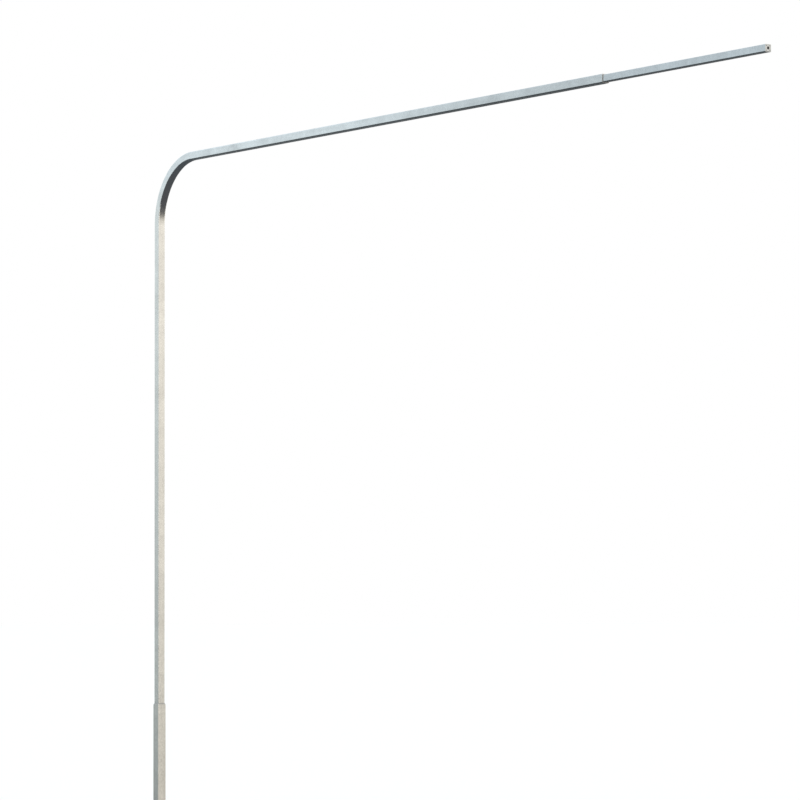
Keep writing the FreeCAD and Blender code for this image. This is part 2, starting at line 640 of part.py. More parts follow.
seal = new_body("seal")
outline = new_sketch(seal, "seal_outline", "YZ", "leaf_back")
for extra in ("seal_gap + seal_width", "seal_gap"):
    rounded_square(outline, f"opening_width + 2 * ({extra})", f"opening_height + 2 * ({extra})",
                   f"opening_corner + {extra}", ("0", "door_middle"))
pad(seal, outline, "seal_plate")
piece("door_seal", seal)

post_knuckles = []
door_knuckles = []
pins = []
washers = []
hinge_line = ("hinge_x", "hinge_y")
for count, middle in enumerate(HINGES):
    lower = (f"{middle} - washer_plate / 2 - knuckle_length", f"{middle} - washer_plate / 2")
    between = (lower[1], f"{middle} + washer_plate / 2")
    upper = (between[1], f"{between[1]} + knuckle_length")
    post_half = fuse(f"post_knuckle_{count}",
                     rod(f"post_knuckle_round_{count}", "Z", lower, hinge_line, "knuckle_radius"),
                     block(f"post_knuckle_foot_{count}", ("hinge_x", "wall_face"),
                           ("hinge_y - knuckle_foot", "hinge_y + knuckle_foot"), lower))
    post_knuckles.append(cut(f"post_knuckle_bored_{count}", post_half,
                             rod(f"post_knuckle_bore_{count}", "Z", lower, hinge_line, "hinge_pin")))
    door_half = fuse(f"door_knuckle_{count}",
                     rod(f"door_knuckle_round_{count}", "Z", upper, hinge_line, "knuckle_radius"),
                     block(f"door_knuckle_tail_{count}", ("leaf_front", "leaf_back"),
                           ("leaf_edge", "hinge_y"), upper))
    blind = (upper[0], f"{upper[1]} - hinge_pin")
    door_knuckles.append(cut(f"door_knuckle_bored_{count}", door_half,
                             rod(f"door_knuckle_bore_{count}", "Z", blind, hinge_line,
                                 "hinge_pin + hinge_play")))
    pins.append(rod(f"pin_{count}", "Z", (lower[0], f"{blind[1]} - pin_relief"), hinge_line, "hinge_pin"))
    washers.append(cut(f"washer_{count}",
                       rod(f"washer_disc_{count}", "Z", between, hinge_line, "knuckle_radius"),
                       rod(f"washer_hole_{count}", "Z", between, hinge_line, "hinge_pin")))
piece("hinge_knuckles_post", group("post_knuckle_pair", post_knuckles), solids=2)
piece("hinge_knuckles_door", group("door_knuckle_pair", door_knuckles), solids=2)
piece("hinge_pins", group("pin_pair", pins), solids=2)
piece("hinge_washers", group("washer_pair", washers), solids=2)

# ---------------------------------------------------------------------------------------------
# Quarter-turn locks, drawn unlocked with their pawls upright
# ---------------------------------------------------------------------------------------------
housings = []
nuts = []
for side, lock_z in LOCKS.items():
    on_lock = ("lock_y", lock_z)
    head = ("leaf_front - lock_head_plate", "leaf_front")
    barrel = ("leaf_front - lock_head_plate", "leaf_front + lock_length")
    housings.append(cut(f"housing_{side}",
                        fuse(f"housing_blank_{side}",
                             rod(f"housing_head_{side}", "X", head, on_lock, "lock_head"),
                             rod(f"housing_barrel_{side}", "X", barrel, on_lock, "lock_barrel")),
                        rod(f"housing_bore_{side}", "X", barrel, on_lock, "lock_bore")))
    nut_span = ("leaf_back", "leaf_back + lock_nut_plate")
    nut = hexagon(f"nut_blank_{side}", "X", nut_span, on_lock, "lock_nut_flats")
    nuts.append(cut(f"nut_{side}", nut, rod(f"nut_hole_{side}", "X", nut_span, on_lock, "lock_barrel")))

    spindle_start = "leaf_front - lock_head_plate + spindle_set"
    well = (spindle_start, f"{spindle_start} + key_depth")
    spindle = cut(f"spindle_turned_{side}",
                  rod(f"spindle_round_{side}", "X", (spindle_start, "pawl_front"), on_lock,
                      "lock_bore - hinge_play"),
                  rod(f"spindle_well_{side}", "X", well, on_lock, "lock_bore - spindle_rim"))
    key = doc.addObject("Part::Prism", f"spindle_key_{side}")
    key.Polygon = 3
    bind(key, "Circumradius", "lock_bore - 2 * spindle_rim")
    place_along(key, "X", (f"{spindle_start} + spindle_set", f"{spindle_start} + key_depth"), on_lock)
    neck = block(f"spindle_neck_{side}", ("pawl_front", "pawl_front + pawl_plate"),
                 ("lock_y - pawl_neck / 2", "lock_y + pawl_neck / 2"),
                 (f"{lock_z} - pawl_neck / 2", f"{lock_z} + pawl_neck / 2"))
    screw_tip = "pawl_front - pawl_screw_reach"
    bored = cut(f"spindle_{side}", fuse(f"spindle_blank_{side}", spindle, key, neck),
                rod(f"spindle_tapping_{side}", "X", (screw_tip, "pawl_front + pawl_plate"), on_lock,
                    "pawl_screw"))
    piece(f"lock_spindle_{side}", bored)

    pawl = block(f"pawl_blank_{side}", ("pawl_front", "pawl_front + pawl_plate"),
                 ("lock_y - pawl_half", "lock_y + pawl_half"),
                 (f"{lock_z} - pawl_half", f"{lock_z} + pawl_length"))
    hole = block(f"pawl_hole_{side}", ("pawl_front - overcut", "pawl_front + pawl_plate + overcut"),
                 ("lock_y - pawl_neck / 2", "lock_y + pawl_neck / 2"),
                 (f"{lock_z} - pawl_neck / 2", f"{lock_z} + pawl_neck / 2"))
    piece(f"lock_pawl_{side}", cut(f"pawl_{side}", pawl, hole))
    piece(f"lock_screw_{side}", pan_screw(f"pawl_screw_{side}", "X", "pawl_front + pawl_plate", screw_tip,
                                          on_lock, "pawl_screw", "pawl_neck / 2 + pawl_screw_rim",
                                          "pawl_screw_head", 1))
piece("lock_housings", group("housing_pair", housings), solids=2)
piece("lock_nuts", group("nut_pair", nuts), solids=2)

# ---------------------------------------------------------------------------------------------
# Inside the base tube: brackets, mounting plate and rails
# ---------------------------------------------------------------------------------------------
BRACKETS = ["(door_middle - bracket_spacing / 2)", "(door_middle + bracket_spacing / 2)"]
RAILS = {"lower": "lower_rail", "upper": "upper_rail"}

brackets = []
board_screws = []
for count, middle in enumerate(BRACKETS):
    blank = block(f"bracket_blank_{count}", ("board_back", "inside_back"),
                  ("-bracket_width / 2", "bracket_width / 2"),
                  (f"{middle} - bracket_height / 2", f"{middle} + bracket_height / 2"))
    hole = rod(f"bracket_hole_{count}", "X", ("board_back", "inside_back"), ("0", middle), "board_screw")
    brackets.append(cut(f"bracket_{count}", blank, hole))
    board_screws.append(pan_screw(f"board_screw_{count}", "X", "board_front", "inside_back - screw_relief",
                                  ("0", middle), "board_screw", "board_screw + board_screw_rim",
                                  "board_screw_head", -1))
piece("plate_brackets", group("bracket_pair", brackets), solids=2)
piece("plate_screws", group("board_screw_pair", board_screws), solids=2)

board = new_body("board")
outline = new_sketch(board, "board_outline", "YZ", "board_front")
rounded_square(outline, "board_width", "board_height", "4", ("0", "door_middle"))
pad(board, outline, "board_plate")
holes = new_sketch(board, "board_holes", "YZ", "board_front")
for middle in BRACKETS:
    ring(holes, "0", middle, "board_screw")
for sign in (-1, 1):
    for rail_z in RAILS.values():
        ring(holes, f"{sign} * rail_screw_spacing / 2", rail_z, "rail_screw")
    ring(holes, f"{sign} * clamp_screw_spacing / 2", "door_middle + clamp_rise + clamp_height / 2",
         "rail_screw")
pocket(board, holes)
piece("mounting_plate", board)

rail_screws = []
for side, rail_z in RAILS.items():
    flange_z = "rail_width / 2"
    web_z = "rail_throat / 2"
    upper_half = [
        ("rail_front", f"{rail_z} + {flange_z}"),
        ("rail_front + rail_sheet", f"{rail_z} + {flange_z}"),
        ("rail_front + rail_sheet", f"{rail_z} + {web_z}"),
        ("board_front", f"{rail_z} + {web_z}"),
    ]
    lower_half = [(x, z.replace(f"{rail_z} +", f"{rail_z} -")) for x, z in reversed(upper_half)]
    inner = [
        ("rail_front", f"{rail_z} - {web_z} + rail_sheet"),
        ("board_front - rail_sheet", f"{rail_z} - {web_z} + rail_sheet"),
        ("board_front - rail_sheet", f"{rail_z} + {web_z} - rail_sheet"),
        ("rail_front", f"{rail_z} + {web_z} - rail_sheet"),
    ]
    rail = outline_prism(f"rail_{side}", "XZ", "-rail_length / 2", "rail_length / 2",
                         upper_half + lower_half + inner)
    holes = new_sketch(rail, f"rail_holes_{side}", "YZ", "board_front")
    for sign in (-1, 1):
        ring(holes, f"{sign} * rail_screw_spacing / 2", rail_z, "rail_screw")
        rail_screws.append(pan_screw(f"rail_screw_{side}_{sign + 1}", "X", "board_front - rail_sheet",
                                     "board_back", (f"{sign} * rail_screw_spacing / 2", rail_z),
                                     "rail_screw", "rail_screw + rail_screw_rim", "rail_screw_head", -1))
    pocket(rail, holes)
    piece(f"equipment_rail_{side}", rail)
piece("rail_screws", group("rail_screw_set", rail_screws), solids=4)


def module_outline(rail_z, half_height, depth, nose_half=None):
    """Side view of a piece that hooks over a rail: hooks at the back, an optional nose in front."""
    shoulder = f"rail_front - ({depth})"
    lip = "rail_width / 2 - hook_grip"
    outer = "rail_width / 2 + hook_grip"
    clear = "rail_width / 2 + hook_clear"
    inside = "rail_front + rail_sheet + hook_gap"
    outside = "rail_front + rail_sheet + hook_depth"
    upper = [("rail_front", clear), (inside, clear), (inside, lip), (outside, lip), (outside, outer),
             ("rail_front", outer), ("rail_front", half_height), (shoulder, half_height)]
    if nose_half:
        upper += [(shoulder, nose_half), (f"{shoulder} - nose_depth", nose_half)]
    lower = [(x, f"-({z})") for x, z in reversed(upper)]
    return [(x, f"{rail_z} + ({z})") for x, z in upper + lower]


def on_rail(name, side, start, width, half_height, depth, nose_half=None):
    return outline_prism(name, "XZ", start, f"({start}) + ({width})",
                         module_outline(RAILS[side], half_height, depth, nose_half))


# Places along the rails, from the -Y end
rail_start = "(-rail_length / 2)"
breaker_start = f"({rail_start} + stop_width + module_gap)"
holder_start = f"({breaker_start} + module_width + module_gap)"
upper_stop = f"({holder_start} + module_width + module_gap)"
breaker_middle = f"({breaker_start} + module_width / 2)"
holder_middle = f"({holder_start} + module_width / 2)"

terminal_starts = [f"({rail_start} + stop_width + module_gap + {count} * (terminal_width + module_gap))"
                   for count in range(4)]
earth_start = f"({rail_start} + stop_width + module_gap + 4 * (terminal_width + module_gap))"
lower_stop = f"({earth_start} + earth_terminal_width + module_gap)"

stops = [on_rail(f"stop_{count}", side, start, "stop_width", "rail_width / 2 + stop_rise", "stop_depth")
         for count, (side, start) in enumerate([("upper", rail_start), ("upper", upper_stop),
                                                ("lower", rail_start), ("lower", lower_stop)])]
piece("rail_end_stops", group("stop_set", stops), solids=4)

terminals = [on_rail(f"terminal_{count}", "lower", start, "terminal_width", "terminal_height / 2",
                     "terminal_depth") for count, start in enumerate(terminal_starts)]
piece("live_terminals", group("live_pair", terminals[:2]), solids=2)
piece("neutral_terminals", group("neutral_pair", terminals[2:]), solids=2)
piece("earth_terminal", on_rail("terminal_earth", "lower", earth_start, "earth_terminal_width",
                                "terminal_height / 2", "terminal_depth"))

# ---------------------------------------------------------------------------------------------
# Breaker with its lever, fuse holder with its swinging carrier
# ---------------------------------------------------------------------------------------------
nose_front = "(rail_front - module_depth - nose_depth)"
axis_x = f"({nose_front} + pin_setback)"


def pinned_body(name, start, nose_half, slot, slot_width, axis_z):
    """A module with a slot in its nose and a blind cross hole for the pin."""
    body = on_rail(f"{name}_blank", "upper", start, "module_width", "module_height / 2", "module_depth",
                   nose_half)
    middle = f"({start} + module_width / 2)"
    half = f"(({slot_width}) / 2 + slot_play)"
    opening_block = block(f"{name}_slot", slot[0], (f"{middle} - {half}", f"{middle} + {half}"), slot[1])
    seat = (f"{middle} - {half} - pin_seat", f"{middle} + {half} + pin_seat")
    seat_rod = rod(f"{name}_seat", "Y", seat, (axis_x, axis_z), "small_pin")
    pin = rod(f"{name}_pin", "Y", seat, (axis_x, axis_z), "small_pin")
    return cut(name, body, opening_block, seat_rod), pin


lever_slot = ((f"{nose_front} - overcut", f"{axis_x} + lever_hub + lever_room"),
              ("upper_rail - lever_sweep", "upper_rail + lever_sweep"))
breaker, lever_pin = pinned_body("breaker", breaker_start, "breaker_nose / 2", lever_slot, "lever_width",
                                 "upper_rail")
piece("breaker_body", breaker)
piece("breaker_lever_pin", lever_pin)

lever_span = (f"{breaker_middle} - lever_width / 2", f"{breaker_middle} + lever_width / 2")
hub = rod("lever_hub_round", "Y", lever_span, (axis_x, "upper_rail"), "lever_hub")
bar = doc.addObject("Part::Box", "lever_bar_box")
bind(bar, "Length", "lever_reach")
bind(bar, "Width", "lever_width")
bind(bar, "Height", "lever_bar")
tilt_turn = FreeCAD.Rotation(V(0, 1, 0), 180 + S.lever_tilt)
bar.Placement = FreeCAD.Placement(V(0, 0, 0), tilt_turn)
bind(bar, ".Placement.Rotation.Angle", "180 + lever_tilt")
bind(bar, ".Placement.Base.x", f"{axis_x} + sin(lever_tilt * 1 deg) * lever_bar / 2")
bind(bar, ".Placement.Base.y", lever_span[0])
bind(bar, ".Placement.Base.z", "upper_rail + cos(lever_tilt * 1 deg) * lever_bar / 2")
piece("breaker_lever", cut("lever", fuse("lever_blank", hub, bar),
                           rod("lever_bore", "Y", lever_span, (axis_x, "upper_rail"),
                               "small_pin + hinge_play")))

carrier_z = "(upper_rail - carrier_drop)"
carrier_back = f"({axis_x} + carrier_depth)"
cavity = ((f"{nose_front} - overcut", f"{carrier_back} + carrier_room"),
          (f"{carrier_z} - carrier_hub - slot_play", "upper_rail + carrier_top + carrier_gap"))
holder, carrier_pin = pinned_body("holder", holder_start, "holder_nose / 2", cavity, "carrier_width",
                                  carrier_z)
piece("fuse_holder_body", holder)
piece("fuse_carrier_pin", carrier_pin)

carrier_span = (f"{holder_middle} - carrier_width / 2", f"{holder_middle} + carrier_width / 2")
swing_circle = rod("carrier_sweep", "Y", carrier_span, (axis_x, carrier_z),
                   "carrier_drop + carrier_top + swing_gap")
slab = block("carrier_slab", (f"{axis_x} - pin_setback + slab_inset", carrier_back), carrier_span,
             (f"{carrier_z} + slab_inset", "upper_rail + carrier_top"))
handle = block("carrier_handle", (f"{nose_front} - grip_reach", f"{nose_front} + grip_root"), carrier_span,
               ("upper_rail + grip_foot", "upper_rail + carrier_top"))
carrier_hub = rod("carrier_hub_round", "Y", carrier_span, (axis_x, carrier_z), "carrier_hub")
rounded = doc.addObject("Part::Common", "carrier_rounded")
rounded.Base = slab
rounded.Tool = swing_circle
fuse_x = f"({axis_x} + carrier_depth / 2)"
fuse_z = ("upper_rail - fuse_length / 2 + fuse_rise", "upper_rail + fuse_length / 2 + fuse_rise")
pocket_block = block("carrier_pocket", (fuse_x, f"{carrier_back} + overcut"),
                     (f"{holder_middle} - fuse_radius - hinge_play",
                      f"{holder_middle} + fuse_radius + hinge_play"),
                     fuse_z)
piece("fuse_carrier", cut(
    "carrier", fuse("carrier_blank", rounded, handle, carrier_hub), pocket_block,
    rod("carrier_fuse_seat", "Z", fuse_z, (fuse_x, holder_middle), "fuse_radius + hinge_play"),
    rod("carrier_bore", "Y", carrier_span, (axis_x, carrier_z), "small_pin + hinge_play")))
piece("fuse_link", rod("fuse", "Z", fuse_z, (fuse_x, holder_middle), "fuse_radius"))

# ---------------------------------------------------------------------------------------------
# Earth stud on the flank wall, below the rails
# ---------------------------------------------------------------------------------------------
stud_z = "(door_middle - stud_drop)"
on_stud = ("0", stud_z)
washer_a = ("inside_flank - stud_washer_plate", "inside_flank")
lug_span = (f"{washer_a[0]} - lug_plate", washer_a[0])
washer_b = (f"{lug_span[0]} - stud_washer_plate", lug_span[0])
nut_span = (f"{washer_b[0]} - stud_nut_plate", washer_b[0])
piece("earth_stud", rod("stud", "Y", ("inside_flank - stud_length", "inside_flank"), on_stud, "stud_radius"))
stud_washers = []
for count, span in enumerate((washer_a, washer_b)):
    stud_washers.append(cut(f"stud_washer_{count}", rod(f"stud_washer_disc_{count}", "Y", span, on_stud,
                                                        "stud_washer"),
                            rod(f"stud_washer_hole_{count}", "Y", span, on_stud, "stud_radius")))
piece("earth_washers", group("stud_washer_pair", stud_washers), solids=2)
piece("earth_nut", cut("stud_nut", hexagon("stud_nut_blank", "Y", nut_span, on_stud, "stud_nut_flats"),
                       rod("stud_nut_hole", "Y", nut_span, on_stud, "stud_radius")))
barrel_y = f"({lug_span[0]} + lug_plate - lug_barrel)"
barrel_z = (f"{stud_z} + stud_washer + lug_neck", f"{stud_z} + 3 * stud_washer")
piece("earth_lug", cut(
    "lug", fuse("lug_blank", rod("lug_ring", "Y", lug_span, on_stud, "stud_washer"),
                block("lug_tongue", ("-lug_barrel", "lug_barrel"), lug_span, (stud_z, barrel_z[1])),
                rod("lug_barrel_round", "Z", barrel_z, ("0", barrel_y), "lug_barrel")),
    rod("lug_hole", "Y", lug_span, on_stud, "stud_radius")))


# ---------------------------------------------------------------------------------------------
# Wires and the riser cable: straight runs joined by tangent arcs
# ---------------------------------------------------------------------------------------------
def rounded_route(points, radii):
    """A wire through the points, each inner corner rounded by its own radius."""
    corners = []
    for before, corner, after, radius in zip(points, points[1:], points[2:], radii):
        back = (before - corner).normalize()
        ahead = (after - corner).normalize()
        half = back.getAngle(ahead) / 2
        reach = radius / math.tan(half)
        middle = (back + ahead).normalize()
        nearest = corner + middle * (radius / math.sin(half) - radius)
        corners.append((corner + back * reach, nearest, corner + ahead * reach))
    edges = []
    start = points[0]
    for first, nearest, last in corners:
        edges.append(Part.LineSegment(start, first).toShape())
        edges.append(Part.Arc(first, nearest, last).toShape())
        start = last
    edges.append(Part.LineSegment(start, points[-1]).toShape())
    return Part.Wire(edges)


SWEEP_TOLERANCE = 0.01


def cable(node, points, radii, radius):
    """A round cable swept along a rounded route."""
    spots = [V(*(measure(value) for value in point)) for point in points]
    wire = rounded_route(spots, radii)
    first = (spots[1] - spots[0]).normalize()
    profile = Part.Wire(Part.Circle(spots[0], first, radius).toShape())
    shape = wire.makePipeShell([profile], True, False)
    expected = math.pi * radius ** 2 * wire.Length
    if abs(shape.Volume / expected - 1) > SWEEP_TOLERANCE:
        raise RuntimeError(f"{node}: volume {shape.Volume:.0f}, expected {expected:.0f}")
    print(node, "length", round(wire.Length, 1), "arc radii", radii)
    feature = doc.addObject("Part::Feature", f"{node}_sweep")
    feature.Shape = shape
    return piece(node, feature)


riser_x = "(shaft_side / 2 - shaft_wall - riser_radius - riser_lift)"
riser_low = "(door_middle + riser_foot)"
arm_run = f"(arm_height - {riser_x})"
tip_run = "(arm_height - tip_side / 2 + tip_wall + riser_radius + riser_lift)"
cable("riser_cable", [
    (riser_x, "0", riser_low),
    (riser_x, "0", arm_run),
    ("tip_root - ramp_start", "0", arm_run),
    ("tip_root - ramp_end", "0", tip_run),
    ("tip_end - riser_tail", "0", tip_run),
], [measure(f"bend_radius - {riser_x}"), S.ramp_turn, S.ramp_turn], S.riser_radius)

clamp_low = "(door_middle + clamp_rise)"
clamp_span = (clamp_low, f"{clamp_low} + clamp_height")
clamp_face = f"({riser_x} - riser_radius - clamp_cover)"
clamp_block = block("clamp_blank", (clamp_face, "board_front"), ("-clamp_width / 2", "clamp_width / 2"),
                    clamp_span)
clamp_tools = [rod("clamp_bore", "Z", clamp_span, (riser_x, "0"), "riser_radius")]
clamp_screws = []
for sign in (-1, 1):
    spot = (f"{sign} * clamp_screw_spacing / 2", f"{clamp_low} + clamp_height / 2")
    clamp_tools.append(rod(f"clamp_hole_{sign + 1}", "X", (clamp_face, "board_front"), spot, "rail_screw"))
    clamp_screws.append(pan_screw(f"clamp_screw_{sign + 1}", "X", clamp_face, "board_back", spot,
                                  "rail_screw", "rail_screw + clamp_screw_rim", "rail_screw_head", -1))
piece("cable_clamp", cut("clamp", clamp_block, *clamp_tools))
piece("clamp_screws", group("clamp_screw_pair", clamp_screws), solids=2)

wire_x = "(rail_front - wire_stand)"
breaker_foot = "(upper_rail - module_height / 2)"
breaker_head = "(upper_rail + module_height / 2)"
terminal_head = "(lower_rail + terminal_height / 2)"
terminal_foot = "(lower_rail - terminal_height / 2)"
live_y = f"({terminal_starts[1]} + terminal_width / 2)"
neutral_y = f"({terminal_starts[3]} + terminal_width / 2)"
earth_y = f"({earth_start} + earth_terminal_width / 2)"
fan = "(riser_radius / 2)"

cable("feed_wire", [
    (wire_x, live_y, terminal_head),
    (wire_x, live_y, f"{terminal_head} + wire_run"),
    (wire_x, breaker_middle, f"{breaker_foot} - wire_run"),
    (wire_x, breaker_middle, breaker_foot),
], [S.feed_turn, S.feed_turn], S.core_radius)
cable("jumper_wire", [
    (wire_x, breaker_middle, breaker_head),
    (wire_x, breaker_middle, f"{breaker_head} + wire_run"),
    (wire_x, holder_middle, f"{breaker_head} + wire_run"),
    (wire_x, holder_middle, breaker_head),
], [S.wire_turn, S.wire_turn], S.core_radius)
cable("live_core", [
    (wire_x, holder_middle, breaker_foot),
    (wire_x, holder_middle, f"{breaker_foot} - wire_run"),
    (wire_x, f"{upper_stop} + stop_width + wire_lane", f"{breaker_foot} - wire_run"),
    (wire_x, f"{upper_stop} + stop_width + wire_lane", f"{riser_low} - core_cross - 3 * wire_lane"),
    (f"{riser_x} + {fan} / 2", f"-{fan} * fan_slant", f"{riser_low} - core_tail - 2 * core_stagger"),
    (f"{riser_x} + {fan} / 2", f"-{fan} * fan_slant", riser_low),
], [S.wire_turn, S.wire_turn, S.core_turn, S.core_turn], S.core_radius)
cable("neutral_core", [
    (wire_x, neutral_y, terminal_head),
    (wire_x, neutral_y, f"{terminal_head} + wire_run"),
    (wire_x, f"{upper_stop} + stop_width + 2 * wire_lane", f"{terminal_head} + wire_run"),
    (wire_x, f"{upper_stop} + stop_width + 2 * wire_lane", f"{riser_low} - core_cross - 2 * wire_lane"),
    (f"{riser_x} - {fan}", "0", f"{riser_low} - core_tail - core_stagger"),
    (f"{riser_x} - {fan}", "0", riser_low),
], [S.wire_turn, S.wire_turn, S.core_turn, S.core_turn], S.core_radius)
cable("earth_core", [
    (wire_x, earth_y, terminal_head),
    (wire_x, earth_y, f"{terminal_head} + core_tail"),
    (wire_x, f"{upper_stop} + stop_width + 3 * wire_lane", f"{terminal_head} + core_tail"),
    (wire_x, f"{upper_stop} + stop_width + 3 * wire_lane", f"{riser_low} - core_cross - wire_lane"),
    (f"{riser_x} + {fan} / 2", f"{fan} * fan_slant", f"{riser_low} - core_tail"),
    (f"{riser_x} + {fan} / 2", f"{fan} * fan_slant", riser_low),
], [S.earth_turn, S.earth_turn, S.earth_sweep, S.earth_sweep], S.core_radius)
cable("earth_wire", [
    ("0", barrel_y, barrel_z[1]),
    ("0", barrel_y, f"{barrel_z[1]} + bond_run"),
    (wire_x, earth_y, f"{terminal_foot} - bond_run"),
    (wire_x, earth_y, terminal_foot),
], [S.bond_turn, S.bond_turn], S.core_radius)

# ---------------------------------------------------------------------------------------------
# Recompute, check and write every sub-part
# ---------------------------------------------------------------------------------------------
doc.recompute()
for item in doc.Objects:
    if {"Invalid", "Error"} & set(item.State):
        raise RuntimeError(f"{item.Name} did not compute: {item.State}")

os.makedirs("parts", exist_ok=True)
for item, solids in pieces:
    shape = item.Shape
    if shape.isNull() or not shape.isValid() or len(shape.Solids) != solids:
        raise RuntimeError(f"{item.Label}: expected {solids} valid solids, found {len(shape.Solids)}")
    shape.exportStep(f"parts/{item.Label}.step")
print(len(pieces), "sub-parts written")
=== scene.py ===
# %% [markdown]
# # A galvanised street lamp post
# The post is a square hollow section that stands on a wider base section, sweeps through a quarter
# turn and runs out as a long level arm, with a smaller section let into the arm's end. The fixed
# frame that this lesson builds on already holds every fitted piece: the tubes, the service door, its
# locks, and the equipment behind it. What is left is how each piece looks: weld beads with ripples,
# screws with driven heads, threads, and above all the zinc skin that covers everything outside.

# %% Load the frame and note its box
import json
import math

import bpy
import bmesh
from mathutils import Matrix, Vector


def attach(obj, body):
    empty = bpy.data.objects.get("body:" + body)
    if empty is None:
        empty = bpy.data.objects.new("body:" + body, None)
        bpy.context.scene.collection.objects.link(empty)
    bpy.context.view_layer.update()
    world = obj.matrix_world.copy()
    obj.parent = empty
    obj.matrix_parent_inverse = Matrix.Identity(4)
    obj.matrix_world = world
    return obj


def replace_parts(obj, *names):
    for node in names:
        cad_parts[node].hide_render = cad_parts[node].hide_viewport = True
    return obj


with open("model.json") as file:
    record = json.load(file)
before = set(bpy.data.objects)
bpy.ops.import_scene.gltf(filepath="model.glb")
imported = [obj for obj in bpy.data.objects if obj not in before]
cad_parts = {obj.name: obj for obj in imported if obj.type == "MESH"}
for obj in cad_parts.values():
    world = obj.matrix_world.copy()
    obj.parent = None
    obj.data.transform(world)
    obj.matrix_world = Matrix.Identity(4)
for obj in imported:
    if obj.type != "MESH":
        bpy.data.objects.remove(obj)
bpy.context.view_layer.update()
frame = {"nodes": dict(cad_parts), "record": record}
scene = bpy.context.scene

# %% [markdown]
# ## The camera
# A long lens far away keeps the post's edges nearly parallel. Its place is given by where it stands,
# which way it looks, and a slight roll, because a hand-held level is never perfect.

# %% Camera
CAMERA_PLACE = Vector((39.436, -25.046, 2.686))
CAMERA_HEADING = math.radians(-53.767)
CAMERA_TILT = math.radians(3.2717)
CAMERA_ROLL = math.radians(-0.1905)
CAMERA_LENS = 162.54
CAMERA_FAR = 2000


def look_matrix(place, heading, tilt, roll):
    """A camera matrix from a compass heading (clockwise from +Y), an upward tilt and a roll."""
    reach = math.cos(tilt)
    ahead = Vector((math.sin(heading) * reach, math.cos(heading) * reach, math.sin(tilt)))
    level = Vector((math.cos(heading), -math.sin(heading), 0))
    over = level.cross(ahead)
    right = level * math.cos(roll) + over * math.sin(roll)
    top = over * math.cos(roll) - level * math.sin(roll)
    turn = Matrix((right, top, -ahead)).transposed()
    return Matrix.Translation(place) @ turn.to_4x4()


camera_data = bpy.data.cameras.new("camera")
camera_data.lens = CAMERA_LENS
camera_data.clip_end = CAMERA_FAR
camera = bpy.data.objects.new("camera", camera_data)
scene.collection.objects.link(camera)
camera.matrix_world = look_matrix(CAMERA_PLACE, CAMERA_HEADING, CAMERA_TILT, CAMERA_ROLL)
scene.camera = camera
print("camera is", round(CAMERA_PLACE.length, 2), "m from the origin")

# %% [markdown]
# ## Node helpers
# Every material and the sky are node graphs. These short helpers add a node, set its sockets and
# link it, so that each recipe below reads as a list of ingredients.

# %% Node helpers
# Socket numbers of the mix node: its two colours and their result, its two vectors and theirs
COLOUR_SOCKETS = (6, 7)
COLOUR_RESULT = 2
VECTOR_SOCKETS = (4, 5)
VECTOR_RESULT = 1


def add_node(tree, kind, **settings):
    """A new node; settings are its properties."""
    node = tree.nodes.new(kind)
    for key, value in settings.items():
        setattr(node, key, value)
    return node


def feed(tree, node, socket, value):
    """Give a socket a plain value, or link it to another node's output."""
    target = node.inputs[socket]
    if isinstance(value, bpy.types.NodeSocket):
        tree.links.new(value, target)
    else:
        target.default_value = value


def math_node(tree, operation, first, second=0.0, third=0.0):
    """One sum on plain values or outputs."""
    node = add_node(tree, "ShaderNodeMath", operation=operation)
    for index, value in enumerate((first, second, third)):
        feed(tree, node, index, value)
    return node.outputs[0]


def ramp(tree, factor, stops):
    """A straight colour ramp: stops are (position, colour)."""
    node = add_node(tree, "ShaderNodeValToRGB")
    node.color_ramp.interpolation = "LINEAR"
    elements = node.color_ramp.elements
    while len(elements) < len(stops):
        elements.new(0.5)
    for element, (position, colour) in zip(elements, stops):
        element.position = position
        element.color = (*colour, 1.0)
    feed(tree, node, "Fac", factor)
    return node.outputs["Color"]


def mix_colour(tree, factor, first, second):
    """The first colour at factor 0, the second at factor 1."""
    node = add_node(tree, "ShaderNodeMix", data_type="RGBA", blend_type="MIX")
    feed(tree, node, "Factor", factor)
    for index, value in zip(COLOUR_SOCKETS, (first, second)):
        if isinstance(value, (tuple, list)) and len(value) == 3:
            value = (*value, 1.0)
        feed(tree, node, index, value)
    return node.outputs[COLOUR_RESULT]


def remap(tree, value, low, high, new_low=0.0, new_high=1.0, smooth=False):
    """Stretch a value from one range to another, and hold it at the ends."""
    blend = "SMOOTHSTEP" if smooth else "LINEAR"
    node = add_node(tree, "ShaderNodeMapRange", interpolation_type=blend)
    for index, item in enumerate((value, low, high, new_low, new_high)):
        feed(tree, node, index, item)
    return node.outputs[0]


# %% [markdown]
# ## Light
# Galvanised steel is a dull mirror, so it shows the sky more than it shows any lamp. The sky here is
# a soft studio dome: cool and bright on one side, warm on the other, brighter with height, and dark
# below the horizon, which is what turns the underside of the arm slate grey.

# %% Studio dome
COOL_SIDE = Vector((-0.845, -0.535, 0)).normalized()
DOME_FOOT = -0.30
DOME_CROWN = 1.0
SIDE_BLEND = 0.5
